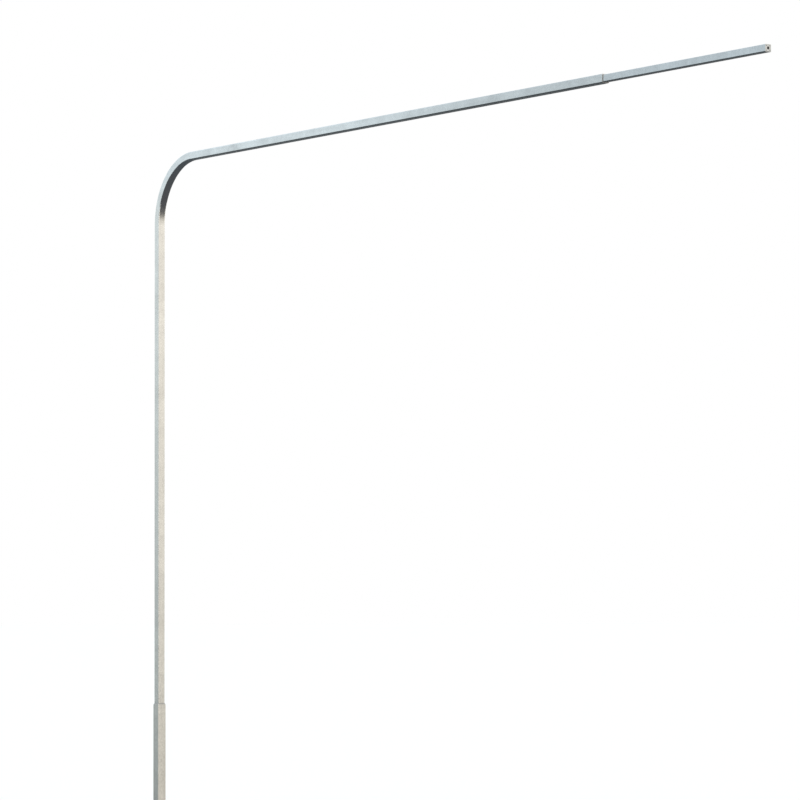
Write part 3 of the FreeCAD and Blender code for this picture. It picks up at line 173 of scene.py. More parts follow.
# Height above the horizon (sine of the angle) and the dome's brightness there
COOL_DOME = [
    (DOME_FOOT, (0.078, 0.088, 0.096)), (-0.11, (0.078, 0.088, 0.096)), (-0.05, (0.43, 0.47, 0.46)),
    (0.02, (0.55, 0.60, 0.59)), (0.10, (0.80, 0.87, 0.88)), (0.20, (0.86, 0.97, 1.02)),
    (DOME_CROWN, (0.70, 0.78, 0.84))]
WARM_DOME = [
    (DOME_FOOT, (0.082, 0.086, 0.092)), (-0.13, (0.16, 0.15, 0.14)), (-0.06, (0.82, 0.77, 0.67)),
    (0.02, (0.91, 0.87, 0.775)), (0.10, (1.06, 1.00, 0.90)), (0.20, (1.12, 1.06, 0.96)),
    (DOME_CROWN, (0.78, 0.78, 0.78))]
WHITE = (1.0, 1.0, 1.0, 1.0)


def dome_ramp(tree, height, dome):
    """One side of the dome, as brightness by height."""
    stops = [((level - DOME_FOOT) / (DOME_CROWN - DOME_FOOT), colour) for level, colour in dome]
    return ramp(tree, height, stops)


world = bpy.data.worlds.new("studio")
scene.world = world
world.use_nodes = True
sky = world.node_tree
sky.nodes.clear()
direction = add_node(sky, "ShaderNodeTexCoord").outputs["Generated"]
split = add_node(sky, "ShaderNodeSeparateXYZ")
feed(sky, split, 0, direction)
height = remap(sky, split.outputs["Z"], DOME_FOOT, DOME_CROWN)
facing = add_node(sky, "ShaderNodeVectorMath", operation="DOT_PRODUCT")
feed(sky, facing, 0, direction)
feed(sky, facing, 1, COOL_SIDE)
coolness = remap(sky, facing.outputs["Value"], -SIDE_BLEND, SIDE_BLEND, smooth=True)
dome = mix_colour(sky, coolness, dome_ramp(sky, height, WARM_DOME), dome_ramp(sky, height, COOL_DOME))
seen = add_node(sky, "ShaderNodeBackground")
feed(sky, seen, "Color", WHITE)
lit = add_node(sky, "ShaderNodeBackground")
feed(sky, lit, "Color", dome)
chooser = add_node(sky, "ShaderNodeMixShader")
feed(sky, chooser, 0, add_node(sky, "ShaderNodeLightPath").outputs["Is Camera Ray"])
feed(sky, chooser, 1, lit.outputs[0])
feed(sky, chooser, 2, seen.outputs[0])
feed(sky, add_node(sky, "ShaderNodeOutputWorld"), 0, chooser.outputs[0])
scene.view_settings.view_transform = "Standard"

# %% Soft key lamp and pale floor
LAMP_PLACE = Vector((30, -30, 40))
LAMP_HEADING = math.radians(-20)
LAMP_TILT = math.radians(-50)
LAMP_POWER = 0.6
LAMP_SPREAD = math.radians(25)
LAMP_TINT = (1.0, 0.97, 0.93)
lamp_data = bpy.data.lights.new("key", "SUN")
lamp_data.energy = LAMP_POWER
lamp_data.angle = LAMP_SPREAD
lamp_data.color = LAMP_TINT
lamp = bpy.data.objects.new("key", lamp_data)
scene.collection.objects.link(lamp)
lamp.matrix_world = look_matrix(LAMP_PLACE, LAMP_HEADING, LAMP_TILT, 0)

FLOOR_RADIUS = 500
FLOOR_SIDES = 128
FLOOR_TINT = (0.85, 0.85, 0.85, 1)
FLOOR_ROUGHNESS = 0.9
FLOOR_GLOW = 0.155
floor_mesh = bpy.data.meshes.new("floor")
floor_form = bmesh.new()
bmesh.ops.create_circle(floor_form, cap_ends=True, segments=FLOOR_SIDES, radius=FLOOR_RADIUS)
floor_form.to_mesh(floor_mesh)
floor_form.free()
floor = bpy.data.objects.new("floor", floor_mesh)
scene.collection.objects.link(floor)
floor.visible_glossy = False
floor.visible_diffuse = False
floor_look = bpy.data.materials.new("floor")
floor_look.use_nodes = True
paint = floor_look.node_tree.nodes["Principled BSDF"]
paint.inputs["Base Color"].default_value = FLOOR_TINT
paint.inputs["Roughness"].default_value = FLOOR_ROUGHNESS
paint.inputs["Emission Color"].default_value = WHITE
paint.inputs["Emission Strength"].default_value = FLOOR_GLOW
floor_mesh.materials.append(floor_look)

# %% [markdown]
# ## The zinc skin
# Hot-dip galvanising leaves interlocking crystals, the spangle, over soft cloudy patches, with faint
# runs where the zinc drained off the hanging tube. Cells give the crystals, noise gives the clouds,
# and noise stretched along the tube gives the runs. Together they shift colour, gloss and relief, so
# that the skin reads as one layer. The arm's colour also grows darker towards its outer end.

# %% Galvanised steel
# Height over which the post's look turns into the arm's
ARM_FOOT = 7.7
ARM_TOP = 8.3
# The arm's tint against the post's, and how its colour darkens from one place along it to another
ARM_COOLING = (0.975, 1.0, 1.035)
ARM_DARKENING = (2.5, 9.0, 1.06, 0.80)
# The middle of a noise's range, where nearly all of its values lie
LOW, HIGH = 0.3, 0.7
# Scale, detail and roughness of each noise
CLOUD_NOISE = (2.6, 6.0, 0.65)
PATCH_NOISE = (9.0, 3.0, 0.5)
PATCH_RANGE = (0.35, 0.65)
RUN_NOISE = (1.0, 3.0)
MOTTLE_SCALE = 26.0
CRYSTAL_SCALE = 85.0
WOBBLE_SCALE = 45.0
WOBBLE_SHARE = 0.012
STAIN_BREAKUP = (0.35, 0.6, 0.4, 1.3)
RUN_DEPTH = 0.045
MOTTLE_ROUGHNESS = 0.12
CRYSTAL_ROUGHNESS = 0.05
CRYSTAL_RELIEF = 0.6
ZINC_RELIEF = (0.09, 0.001)
RUN_SCALE = (26.0, 26.0, 0.9)
ARM_RUN_SCALE = (0.9, 26.0, 26.0)
# Distance out along the arm, half width and darkening of its three stains
ARM_STAINS = [(1.82, 0.16, 0.10), (7.13, 0.22, 0.09), (9.63, 0.18, 0.10)]


def noise(tree, place, scale, detail=4.0, roughness=0.55):
    """Soft noise, 0 to 1."""
    node = add_node(tree, "ShaderNodeTexNoise")
    feed(tree, node, "Vector", place)
    feed(tree, node, "Scale", scale)
    feed(tree, node, "Detail", detail)
    feed(tree, node, "Roughness", roughness)
    return node.outputs["Fac"]


def stretched(tree, place, factors):
    """The place times a factor along each axis; a small factor draws a pattern out."""
    node = add_node(tree, "ShaderNodeVectorMath", operation="MULTIPLY")
    feed(tree, node, 0, place)
    feed(tree, node, 1, factors)
    return node.outputs[0]


def product(tree, *values):
    """All the values multiplied."""
    total = values[0]
    for value in values[1:]:
        total = math_node(tree, "MULTIPLY", total, value)
    return total


def scaled(tree, colour, factor):
    """A colour made lighter or darker."""
    node = add_node(tree, "ShaderNodeVectorMath", operation="SCALE")
    feed(tree, node, 0, colour)
    feed(tree, node, "Scale", factor)
    return node.outputs[0]


def bump(tree, height, strength, distance):
    """Fine relief that is too small for the mesh."""
    node = add_node(tree, "ShaderNodeBump")
    feed(tree, node, "Strength", strength)
    feed(tree, node, "Distance", distance)
    feed(tree, node, "Height", height)
    return node.outputs[0]


def new_look(name):
    """A material, its tree, its shader, and the place on the piece."""
    look = bpy.data.materials.new(name)
    look.use_nodes = True
    tree = look.node_tree
    place = add_node(tree, "ShaderNodeTexCoord").outputs["Object"]
    return look, tree, tree.nodes["Principled BSDF"], place


def galvanised(name, tint, cloud=0.10, spangle=0.06, rough=0.22, arm=False):
    """A zinc skin; cloud and spangle are how far each one shifts the tint."""
    look, tree, shader, place = new_look(name)
    crystals = add_node(tree, "ShaderNodeTexVoronoi", feature="F1")
    wobble = add_node(tree, "ShaderNodeTexNoise")
    feed(tree, wobble, "Vector", place)
    feed(tree, wobble, "Scale", WOBBLE_SCALE)
    bent = add_node(tree, "ShaderNodeMix", data_type="VECTOR")
    feed(tree, bent, "Factor", WOBBLE_SHARE)
    for socket, value in zip(VECTOR_SOCKETS, (place, wobble.outputs["Color"])):
        feed(tree, bent, socket, value)
    feed(tree, crystals, "Vector", bent.outputs[VECTOR_RESULT])
    feed(tree, crystals, "Scale", CRYSTAL_SCALE)
    crystal_grey = add_node(tree, "ShaderNodeSeparateColor")
    feed(tree, crystal_grey, 0, crystals.outputs["Color"])
    clouds = noise(tree, place, *CLOUD_NOISE)
    clouds = remap(tree, clouds, LOW, HIGH, 1.0 - cloud, 1.0 + cloud)
    patches = noise(tree, place, *PATCH_NOISE)
    patches = remap(tree, patches, *PATCH_RANGE, 1.0 - cloud / 3, 1.0 + cloud / 3)
    grains = remap(tree, crystal_grey.outputs[0], 0.0, 1.0, 1.0 - spangle, 1.0 + spangle)
    small = noise(tree, place, MOTTLE_SCALE)
    runs = noise(tree, stretched(tree, place, RUN_SCALE), *RUN_NOISE)
    shade = product(tree, clouds, patches, grains)
    skin = tint
    if arm:
        split = add_node(tree, "ShaderNodeSeparateXYZ")
        feed(tree, split, 0, place)
        out, up = split.outputs["X"], split.outputs["Z"]
        on_arm = remap(tree, up, ARM_FOOT, ARM_TOP, smooth=True)
        arm_runs = noise(tree, stretched(tree, place, ARM_RUN_SCALE), *RUN_NOISE)
        post_runs = product(tree, runs, math_node(tree, "SUBTRACT", 1.0, on_arm))
        runs = math_node(tree, "ADD", product(tree, arm_runs, on_arm), post_runs)
        # The arm's colour is made darker from 2.5 m out along X towards its outer end
        darkened = remap(tree, out, *ARM_DARKENING, smooth=True)
        shade = product(tree, shade, darkened)
        for middle, half, depth in ARM_STAINS:
            away = math_node(tree, "ABSOLUTE", math_node(tree, "SUBTRACT", out, middle))
            stain = remap(tree, away, 0.0, half, depth, 0.0, smooth=True)
            stain = product(tree, stain, on_arm, remap(tree, small, *STAIN_BREAKUP))
            shade = product(tree, shade, math_node(tree, "SUBTRACT", 1.0, stain))
        cool = tuple(part * share for part, share in zip(tint, ARM_COOLING))
        skin = mix_colour(tree, on_arm, tint, cool)
    shade = product(tree, shade, remap(tree, runs, LOW, HIGH, 1.0 - RUN_DEPTH, 1.0 + RUN_DEPTH))
    feed(tree, shader, "Base Color", scaled(tree, skin, shade))
    feed(tree, shader, "Metallic", 1.0)
    gloss = math_node(tree, "MULTIPLY_ADD", small, MOTTLE_ROUGHNESS, rough - MOTTLE_ROUGHNESS / 2)
    gloss = math_node(tree, "MULTIPLY_ADD", crystal_grey.outputs[1], CRYSTAL_ROUGHNESS, gloss)
    feed(tree, shader, "Roughness", gloss)
    relief = math_node(tree, "MULTIPLY_ADD", crystals.outputs["Distance"], CRYSTAL_RELIEF, small)
    feed(tree, shader, "Normal", bump(tree, relief, *ZINC_RELIEF))
    return look


looks = {
    "galvanised_shaft": galvanised("zinc_shaft", (0.77, 0.77, 0.76), cloud=0.09, arm=True),
    "galvanised_base": galvanised("zinc_base", (0.765, 0.765, 0.755), cloud=0.08, rough=0.17),
    "galvanised_tip": galvanised("zinc_tip", (0.585, 0.61, 0.635), cloud=0.08),
    "galvanised_plate": galvanised("zinc_plate", (0.66, 0.67, 0.67), cloud=0.12, rough=0.3),
    "zinc_weld": galvanised("zinc_weld", (0.50, 0.50, 0.49), cloud=0.14, spangle=0.03, rough=0.34),
    "hinge_steel": galvanised("zinc_hinge", (0.60, 0.61, 0.62), cloud=0.12, spangle=0.04, rough=0.3),
}
print("zinc looks", sorted(looks))

# %% [markdown]
# ## Small metal parts
# Screws, pins and lock heads are turned or stamped, so their gloss is broken by fine scratches that
# run one way. A wear term lightens them in blotches, as handling does.

# %% Bright metals
TURNED_GRAIN = (900.0, 900.0, 60.0)
GREY_STAIN = (0.35, 0.33, 0.30)
SCRATCH_NOISE = (1.0, 2.0)
BLOTCH_NOISE = (160.0, 3.0)
AGE_NOISE = (60.0, 4.0)
AGE_RANGE = (0.45, 0.75)
# Darkest and lightest that each one makes the tint
SCRATCH_SHADE = (0.92, 1.06)
BLOTCH_SHADE = (0.94, 1.05)
SCRATCH_ROUGHNESS = 0.16
SCRATCH_RELIEF = (0.06, 0.0002)


def worked_metal(name, tint, rough, grain=TURNED_GRAIN, stain=GREY_STAIN, stained=0.25):
    """A turned or stamped metal; grain is how fine its scratches are along each axis."""
    look, tree, shader, place = new_look(name)
    scratches = noise(tree, stretched(tree, place, grain), *SCRATCH_NOISE)
    blotches = noise(tree, place, *BLOTCH_NOISE)
    age = remap(tree, noise(tree, place, *AGE_NOISE), *AGE_RANGE, 0.0, stained, smooth=True)
    shade = product(tree, remap(tree, scratches, LOW, HIGH, *SCRATCH_SHADE),
                    remap(tree, blotches, LOW, HIGH, *BLOTCH_SHADE))
    feed(tree, shader, "Base Color", mix_colour(tree, age, scaled(tree, tint, shade), stain))
    feed(tree, shader, "Metallic", 1.0)
    gloss = math_node(tree, "MULTIPLY_ADD", scratches, SCRATCH_ROUGHNESS, rough - SCRATCH_ROUGHNESS / 2)
    feed(tree, shader, "Roughness", gloss)
    feed(tree, shader, "Normal", bump(tree, scratches, *SCRATCH_RELIEF))
    return look


looks["stainless_screw"] = worked_metal("stainless", (0.70, 0.69, 0.67), 0.24, stained=0.12)
looks["zinc_plated"] = worked_metal("bright_zinc", (0.72, 0.75, 0.80), 0.30, grain=(40.0, 700.0, 700.0))
looks["lock_zinc"] = worked_metal("satin_chrome", (0.66, 0.66, 0.67), 0.26, grain=(700.0, 700.0, 700.0))
looks["brass_stud"] = worked_metal("brass", (0.80, 0.60, 0.27), 0.28, stain=(0.36, 0.22, 0.09))
looks["copper_lug"] = worked_metal("tinned_copper", (0.76, 0.73, 0.70), 0.30, stain=(0.45, 0.28, 0.18))

# %% [markdown]
# ## Plastics, rubber and insulation
# Moulded housings have a fine spark-eroded texture, extruded sheaths a coarser one and a dusting, and
# the earth conductor's sheath alternates green and yellow.

# %% Non-metals
DUST = (0.42, 0.40, 0.36)
DUST_NOISE = (75.0, 6.0, 0.7)
DUST_RANGE = (0.5, 0.8)
BLOOM_NOISE = (30.0, 5.0, 0.6)
GRIT_DETAIL = 2.0
GRIT_SHADE = (0.97, 1.03)
GRIT_RELIEF = (0.12, 0.0002)
SOFT_ROUGHNESS = 0.14
BAND_SLANT = 0.35
BAND_EDGE = (0.46, 0.54)
HAZE_NOISE = (90.0, 4.0)
HAZE_SHADE = (0.9, 1.08)
HAZE_RELIEF = (0.08, 0.0003)


def moulded(name, tint, rough=0.5, texture=1400.0, dust=0.12, variation=0.05):
    """A plastic, rubber or ceramic with a fine texture and some settled dust."""
    look, tree, shader, place = new_look(name)
    grit = noise(tree, place, texture, GRIT_DETAIL)
    patch = noise(tree, place, *BLOOM_NOISE)
    shade = product(tree, remap(tree, patch, LOW, HIGH, 1.0 - variation, 1.0 + variation),
                    remap(tree, grit, LOW, HIGH, *GRIT_SHADE))
    settled = remap(tree, noise(tree, place, *DUST_NOISE), *DUST_RANGE, 0.0, dust, smooth=True)
    feed(tree, shader, "Base Color", mix_colour(tree, settled, scaled(tree, tint, shade), DUST))
    gloss = math_node(tree, "MULTIPLY_ADD", patch, SOFT_ROUGHNESS, rough - SOFT_ROUGHNESS / 2)
    feed(tree, shader, "Roughness", gloss)
    feed(tree, shader, "Normal", bump(tree, grit, *GRIT_RELIEF))
    return look


def two_tone(name, first, second, band, rough=0.42):
    """Insulation in two colours that alternate in slanting bands."""
    look, tree, shader, place = new_look(name)
    split = add_node(tree, "ShaderNodeSeparateXYZ")
    feed(tree, split, 0, place)
    slope = math_node(tree, "MULTIPLY_ADD", split.outputs["Z"], BAND_SLANT, split.outputs["Y"])
    phase = math_node(tree, "FRACT", math_node(tree, "DIVIDE", slope, band))
    choice = remap(tree, phase, *BAND_EDGE, smooth=True)
    haze = noise(tree, place, *HAZE_NOISE)
    colour = mix_colour(tree, choice, first, second)
    feed(tree, shader, "Base Color", scaled(tree, colour, remap(tree, haze, LOW, HIGH, *HAZE_SHADE)))
    gloss = math_node(tree, "MULTIPLY_ADD", haze, SOFT_ROUGHNESS, rough - SOFT_ROUGHNESS / 2)
    feed(tree, shader, "Roughness", gloss)
    feed(tree, shader, "Normal", bump(tree, haze, *HAZE_RELIEF))
    return look


looks["seal_rubber"] = moulded("rubber", (0.035, 0.035, 0.036), 0.62, 700.0, dust=0.22, variation=0.12)
looks["module_grey"] = moulded("light_housing", (0.66, 0.66, 0.63), 0.48)
looks["lever_black"] = moulded("black_nylon", (0.03, 0.03, 0.032), 0.42, dust=0.08)
looks["carrier_grey"] = moulded("dark_housing", (0.13, 0.135, 0.14), 0.48, dust=0.10)
looks["fuse_ceramic"] = moulded("ceramic", (0.80, 0.78, 0.72), 0.22, 500.0, dust=0.05, variation=0.03)
looks["terminal_grey"] = moulded("grey_nylon", (0.28, 0.29, 0.30), 0.5)
looks["terminal_blue"] = moulded("blue_nylon", (0.03, 0.12, 0.42), 0.46)
looks["cable_black"] = moulded("black_sheath", (0.028, 0.028, 0.03), 0.46, 300.0, dust=0.20, variation=0.10)
looks["core_brown"] = moulded("brown_sheath", (0.13, 0.045, 0.02), 0.4, 500.0, dust=0.08)
looks["core_blue"] = moulded("blue_sheath", (0.02, 0.09, 0.40), 0.4, 500.0, dust=0.08)
looks["core_green"] = two_tone("earth_sheath", (0.07, 0.26, 0.04), (0.72, 0.58, 0.03), 0.012)
looks["terminal_green"] = two_tone("earth_nylon", (0.08, 0.27, 0.05), (0.66, 0.54, 0.05), 0.008, 0.5)

# The collar's slope faces the sky; its zinc is given a darker tint and more roughness than the upright
# walls
collar_look = galvanised("zinc_collar", (0.53, 0.525, 0.505), cloud=0.10, spangle=0.03, rough=0.42)
slot_of = {entry["node"]: entry["material_slot"] for entry in frame["record"]["subparts"]}
for node, piece in frame["nodes"].items():
    piece.data.materials.clear()
    piece.data.materials.append(collar_look if node == "base_collar" else looks[slot_of[node]])
print("looks", len(looks), "cover", len(slot_of), "nodes")

# %% [markdown]
# ## Building with node trees
# Ripples, threads and sets of screws repeat, so each is grown by a geometry node tree from a small
# starting mesh. The helpers declare a tree's inputs, feed them by their identifiers, and keep the
# finished result as a plain mesh.

# %% Tree helpers
def new_tree(name, inputs):
    """An empty geometry node tree with a geometry input, these inputs, and a geometry output."""
    tree = bpy.data.node_groups.new(name, "GeometryNodeTree")
    tree.interface.new_socket("Geometry", in_out="INPUT", socket_type="NodeSocketGeometry")
    for label, kind in inputs:
        tree.interface.new_socket(label, in_out="INPUT", socket_type="NodeSocket" + kind)
    tree.interface.new_socket("Geometry", in_out="OUTPUT", socket_type="NodeSocketGeometry")
    return tree, add_node(tree, "NodeGroupInput").outputs, add_node(tree, "NodeGroupOutput")


def close_tree(tree, end, geometry, material):
    """Realize and paint what a tree has grown."""
    real = add_node(tree, "GeometryNodeRealizeInstances")
    feed(tree, real, "Geometry", geometry)
    painted = add_node(tree, "GeometryNodeSetMaterial")
    feed(tree, painted, "Geometry", real.outputs[0])
    feed(tree, painted, "Material", material)
    feed(tree, end, 0, painted.outputs[0])


def grow(name, tree, start, body, slot_name, **values):
    """Run a tree on a starting mesh and keep the result as one piece that rides on a body."""
    seed = bpy.data.objects.new(name + "_seed", start)
    scene.collection.objects.link(seed)
    modifier = seed.modifiers.new("grow", "NODES")
    modifier.node_group = tree
    wanted = {key.replace("_", " ").capitalize(): value for key, value in values.items()}
    wanted["Material"] = looks[slot_name]
    for item in tree.interface.items_tree:
        if item.in_out == "INPUT" and item.name in wanted:
            modifier[item.identifier] = wanted.pop(item.name)
    if wanted:
        raise ValueError(f"{name}: no such inputs {sorted(wanted)}")
    bpy.context.view_layer.update()
    graph = bpy.context.evaluated_depsgraph_get()
    mesh = bpy.data.meshes.new_from_object(seed.evaluated_get(graph))
    bpy.data.objects.remove(seed)
    return adopt(name, mesh, body, slot_name)


def adopt(name, mesh, body, slot_name):
    """Put a finished mesh in the scene as one piece that rides on a body."""
    mesh.name = name
    if not mesh.materials:
        mesh.materials.append(looks[slot_name])
    piece = bpy.data.objects.new(name, mesh)
    scene.collection.objects.link(piece)
    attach(piece, body)
    print(name, "faces", len(mesh.polygons))
    return piece


# %% [markdown]
# ## Weld beads
# A hand-laid bead is a chain of overlapping ripples. The tree turns a closed rounded square into a
# curve, sweeps a round core along it, and sets one flattened ball on every step of the torch, each a
# little different in size.

# %% Weld bead tree
CORE_SHARE = 0.9
CORE_SIDES = 12
BALL_SEGMENTS = 14
BALL_RINGS = 8
# Least and most a ball is scaled, first along the bead
LEAST_BALL = (0.42, 0.95, 0.95)
MOST_BALL = (0.58, 1.08, 1.08)
weld_tree, weld_in, weld_end = new_tree("weld_bead", [
    ("Bead radius", "Float"), ("Ripple step", "Float"), ("Seed", "Int"), ("Material", "Material")])
path = add_node(weld_tree, "GeometryNodeMeshToCurve")
feed(weld_tree, path, "Mesh", weld_in["Geometry"])
steps = add_node(weld_tree, "GeometryNodeResampleCurve", mode="LENGTH")
feed(weld_tree, steps, "Curve", path.outputs[0])
feed(weld_tree, steps, "Length", weld_in["Ripple step"])
ring = add_node(weld_tree, "GeometryNodeCurvePrimitiveCircle")
feed(weld_tree, ring, "Resolution", CORE_SIDES)
feed(weld_tree, ring, "Radius", math_node(weld_tree, "MULTIPLY", weld_in["Bead radius"], CORE_SHARE))
core = add_node(weld_tree, "GeometryNodeCurveToMesh")
feed(weld_tree, core, "Curve", steps.outputs[0])
feed(weld_tree, core, "Profile Curve", ring.outputs[0])
ball = add_node(weld_tree, "GeometryNodeMeshUVSphere")
feed(weld_tree, ball, "Segments", BALL_SEGMENTS)
feed(weld_tree, ball, "Rings", BALL_RINGS)
feed(weld_tree, ball, "Radius", weld_in["Bead radius"])
along = add_node(weld_tree, "FunctionNodeAlignRotationToVector", axis="X")
feed(weld_tree, along, "Vector", add_node(weld_tree, "GeometryNodeInputTangent").outputs[0])
variety = add_node(weld_tree, "FunctionNodeRandomValue", data_type="FLOAT_VECTOR")
feed(weld_tree, variety, 0, LEAST_BALL)
feed(weld_tree, variety, 1, MOST_BALL)
feed(weld_tree, variety, "Seed", weld_in["Seed"])
ripples = add_node(weld_tree, "GeometryNodeInstanceOnPoints")
feed(weld_tree, ripples, "Points", steps.outputs[0])
feed(weld_tree, ripples, "Instance", ball.outputs[0])
feed(weld_tree, ripples, "Rotation", along.outputs[0])
feed(weld_tree, ripples, "Scale", variety.outputs[0])
bead = add_node(weld_tree, "GeometryNodeJoinGeometry")
for part in (core.outputs[0], ripples.outputs[0]):
    weld_tree.links.new(part, bead.inputs[0])
smooth = add_node(weld_tree, "GeometryNodeSetShadeSmooth")
feed(weld_tree, smooth, "Geometry", bead.outputs[0])
close_tree(weld_tree, weld_end, smooth.outputs[0], weld_in["Material"])

# %% Weld paths
CORNER_STEPS = 8
QUARTER = math.pi / 2
# Radius of a bead, spacing of its ripples, and how far its path stands off the seam
FOOT_BEAD, FOOT_RIPPLE, FOOT_LIFT = 0.0058, 0.0034, 0.0024
SEAM_BEAD, SEAM_RIPPLE, SEAM_LIFT = 0.0036, 0.0024, 0.0014
# Half width and corner radius of each path
FOOT_SQUARE = (0.0622, 0.0142)
COLLAR_SQUARE = (0.0508, 0.0128)
STEP_SQUARE = (0.0418, 0.0098)
FLANGE_TOP = 0.025
COLLAR_TOP = 1.450
STEP_PLACE = 9.085
ARM_LEVEL = 8.450


def square_path(name, half, corner, place):
    """A closed rounded square of edges; place turns its two coordinates into a point."""
    points = []
    for quarter in range(4):
        turn = Matrix.Rotation(quarter * QUARTER, 2)
        for count in range(CORNER_STEPS + 1):
            angle = count / CORNER_STEPS * QUARTER
            flat = half - corner
            spot = Vector((flat + corner * math.cos(angle), flat + corner * math.sin(angle)))
            points.append(place(*(turn @ spot)))
    edges = [(index, (index + 1) % len(points)) for index in range(len(points))]
    mesh = bpy.data.meshes.new(name)
    mesh.from_pydata(points, edges, [])
    return mesh


def weld(node, path, radius, ripple, seed):
    """A rippled bead along a path, which stands for a node's plain one."""
    bead = grow(node + "_bead", weld_tree, path, "post", "zinc_weld", bead_radius=radius,
                ripple_step=ripple, seed=seed)
    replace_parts(bead, node)


foot_path = square_path("foot_path", *FOOT_SQUARE, lambda a, b: (a, b, FLANGE_TOP + FOOT_LIFT))
collar_path = square_path("collar_path", *COLLAR_SQUARE, lambda a, b: (a, b, COLLAR_TOP + SEAM_LIFT))
step_path = square_path("step_path", *STEP_SQUARE, lambda a, b: (STEP_PLACE + SEAM_LIFT, a, ARM_LEVEL + b))
weld("foot_weld", foot_path, FOOT_BEAD, FOOT_RIPPLE, 3)
weld("collar_weld", collar_path, SEAM_BEAD, SEAM_RIPPLE, 5)
weld("arm_step_weld", step_path, SEAM_BEAD, SEAM_RIPPLE, 8)

# %% [markdown]
# ## Screws
# One pan head is turned from a profile and given a tapered cross recess. A tree then sets a copy on
# each point, lined up with its own direction and spun by a fixed random amount, as screws stop where
# they are tight and never all alike.

# %% Turned shapes and cuts
def turned(name, profile, segments=48):
    """A closed solid of revolution about Z from (radius, height) pairs, foot first."""
    form = bmesh.new()
    rings = []
    angles = [math.tau * step / segments for step in range(segments)]
    for radius, height in profile:
        if radius == 0:
            rings.append([form.verts.new((0, 0, height))])
            continue
        rings.append([form.verts.new((radius * math.cos(angle), radius * math.sin(angle), height))
                      for angle in angles])
    for lower, upper in zip(rings, rings[1:]):
        for step in range(segments):
            after = (step + 1) % segments
            corners = [lower[step % len(lower)], lower[after % len(lower)],
                       upper[after % len(upper)], upper[step % len(upper)]]
            unique = list(dict.fromkeys(corners))
            if len(unique) > 2:
                form.faces.new(unique)
    bmesh.ops.recalc_face_normals(form, faces=form.faces)
    mesh = bpy.data.meshes.new(name)
    form.to_mesh(mesh)
    form.free()
    return mesh


def combine(name, mesh, tool, operation):
    """A mesh after one exact boolean with another."""
    base = bpy.data.objects.new(name, mesh)
    cutter = bpy.data.objects.new(name + "_tool", tool)
    for piece in (base, cutter):
        scene.collection.objects.link(piece)
    modifier = base.modifiers.new("cut", "BOOLEAN")
    modifier.operation = operation
    modifier.solver = "EXACT"
    modifier.object = cutter
    bpy.context.view_layer.update()
    graph = bpy.context.evaluated_depsgraph_get()
    result = bpy.data.meshes.new_from_object(base.evaluated_get(graph))
    for piece in (base, cutter):
        bpy.data.objects.remove(piece)
    return result


def prism(name, outline, low, high, top_scale=1.0):
    """An upright prism over a flat outline, its top drawn in or out."""
    count = len(outline)
    points = [(x, y, low) for x, y in outline]
    points += [(x * top_scale, y * top_scale, high) for x, y in outline]
    faces = [tuple(reversed(range(count))), tuple(range(count, 2 * count))]
    for step in range(count):
        after = (step + 1) % count
        faces.append((step, after, count + after, count + step))
    mesh = bpy.data.meshes.new(name)
    mesh.from_pydata(points, [], faces)
    return mesh


# A pan head's shape, as shares of its radius and height
SHANK_POINT = 0.8
RIM_RADIUS, RIM_HEIGHT = 0.97, 0.05
CROWN_RADIUS, CROWN_HEIGHT = 0.3, 0.985
SHOULDER_STEPS = 6
SHOULDER_RADIUS, SHOULDER_DRAW = 0.62, 0.38
SHOULDER_FOOT, SHOULDER_RISE = 0.40, 0.52
CROSS_WING, CROSS_ARM, CROSS_TAPER = 0.56, 0.13, 0.55
CROSS_FLOOR, CROSS_OVERCUT = 0.35, 1.2


def pan_head(name, head_radius, head, shank_radius, shank):
    """A pan head screw, its head standing up from Z = 0, with a cross recess."""
    point = shank_radius * SHANK_POINT
    profile = [(0, -shank), (point, -shank), (shank_radius, -shank + shank_radius - point),
               (shank_radius, 0), (head_radius * RIM_RADIUS, 0), (head_radius, head * RIM_HEIGHT)]
    for step in range(SHOULDER_STEPS + 1):
        angle = step / SHOULDER_STEPS * QUARTER
        profile.append((head_radius * (SHOULDER_RADIUS + SHOULDER_DRAW * math.cos(angle)),
                        head * (SHOULDER_FOOT + SHOULDER_RISE * math.sin(angle))))
    profile += [(head_radius * CROWN_RADIUS, head * CROWN_HEIGHT), (0, head)]
    wing, arm = head_radius * CROSS_WING, head_radius * CROSS_ARM
    cross = [(arm, arm), (wing, arm), (wing, -arm), (arm, -arm), (arm, -wing), (-arm, -wing), (-arm, -arm),
             (-wing, -arm), (-wing, arm), (-arm, arm), (-arm, wing), (arm, wing)]
    cross.reverse()
    small = [(x * CROSS_TAPER, y * CROSS_TAPER) for x, y in cross]
    recess = prism(name + "_recess", small, head * CROSS_FLOOR, head * CROSS_OVERCUT, 1.0 / CROSS_TAPER)
    return combine(name, turned(name, profile), recess, "DIFFERENCE")


# %% Screw set tree
screw_tree, screw_in, screw_end = new_tree("screw_set", [
    ("Screw", "Object"), ("Direction", "Vector"), ("Seed", "Int"), ("Material", "Material")])
source = add_node(screw_tree, "GeometryNodeObjectInfo", transform_space="ORIGINAL")
feed(screw_tree, source, "Object", screw_in["Screw"])
aimed = add_node(screw_tree, "FunctionNodeAlignRotationToVector", axis="Z")
feed(screw_tree, aimed, "Vector", screw_in["Direction"])
spin = add_node(screw_tree, "FunctionNodeRandomValue", data_type="FLOAT")
feed(screw_tree, spin, 2, 0.0)
feed(screw_tree, spin, 3, math.tau)
feed(screw_tree, spin, "Seed", screw_in["Seed"])
spun = add_node(screw_tree, "FunctionNodeAxisAngleToRotation")
feed(screw_tree, spun, "Axis", (0.0, 0.0, 1.0))
feed(screw_tree, spun, "Angle", spin.outputs[1])
turned_round = add_node(screw_tree, "FunctionNodeRotateRotation", rotation_space="LOCAL")
feed(screw_tree, turned_round, 0, aimed.outputs[0])
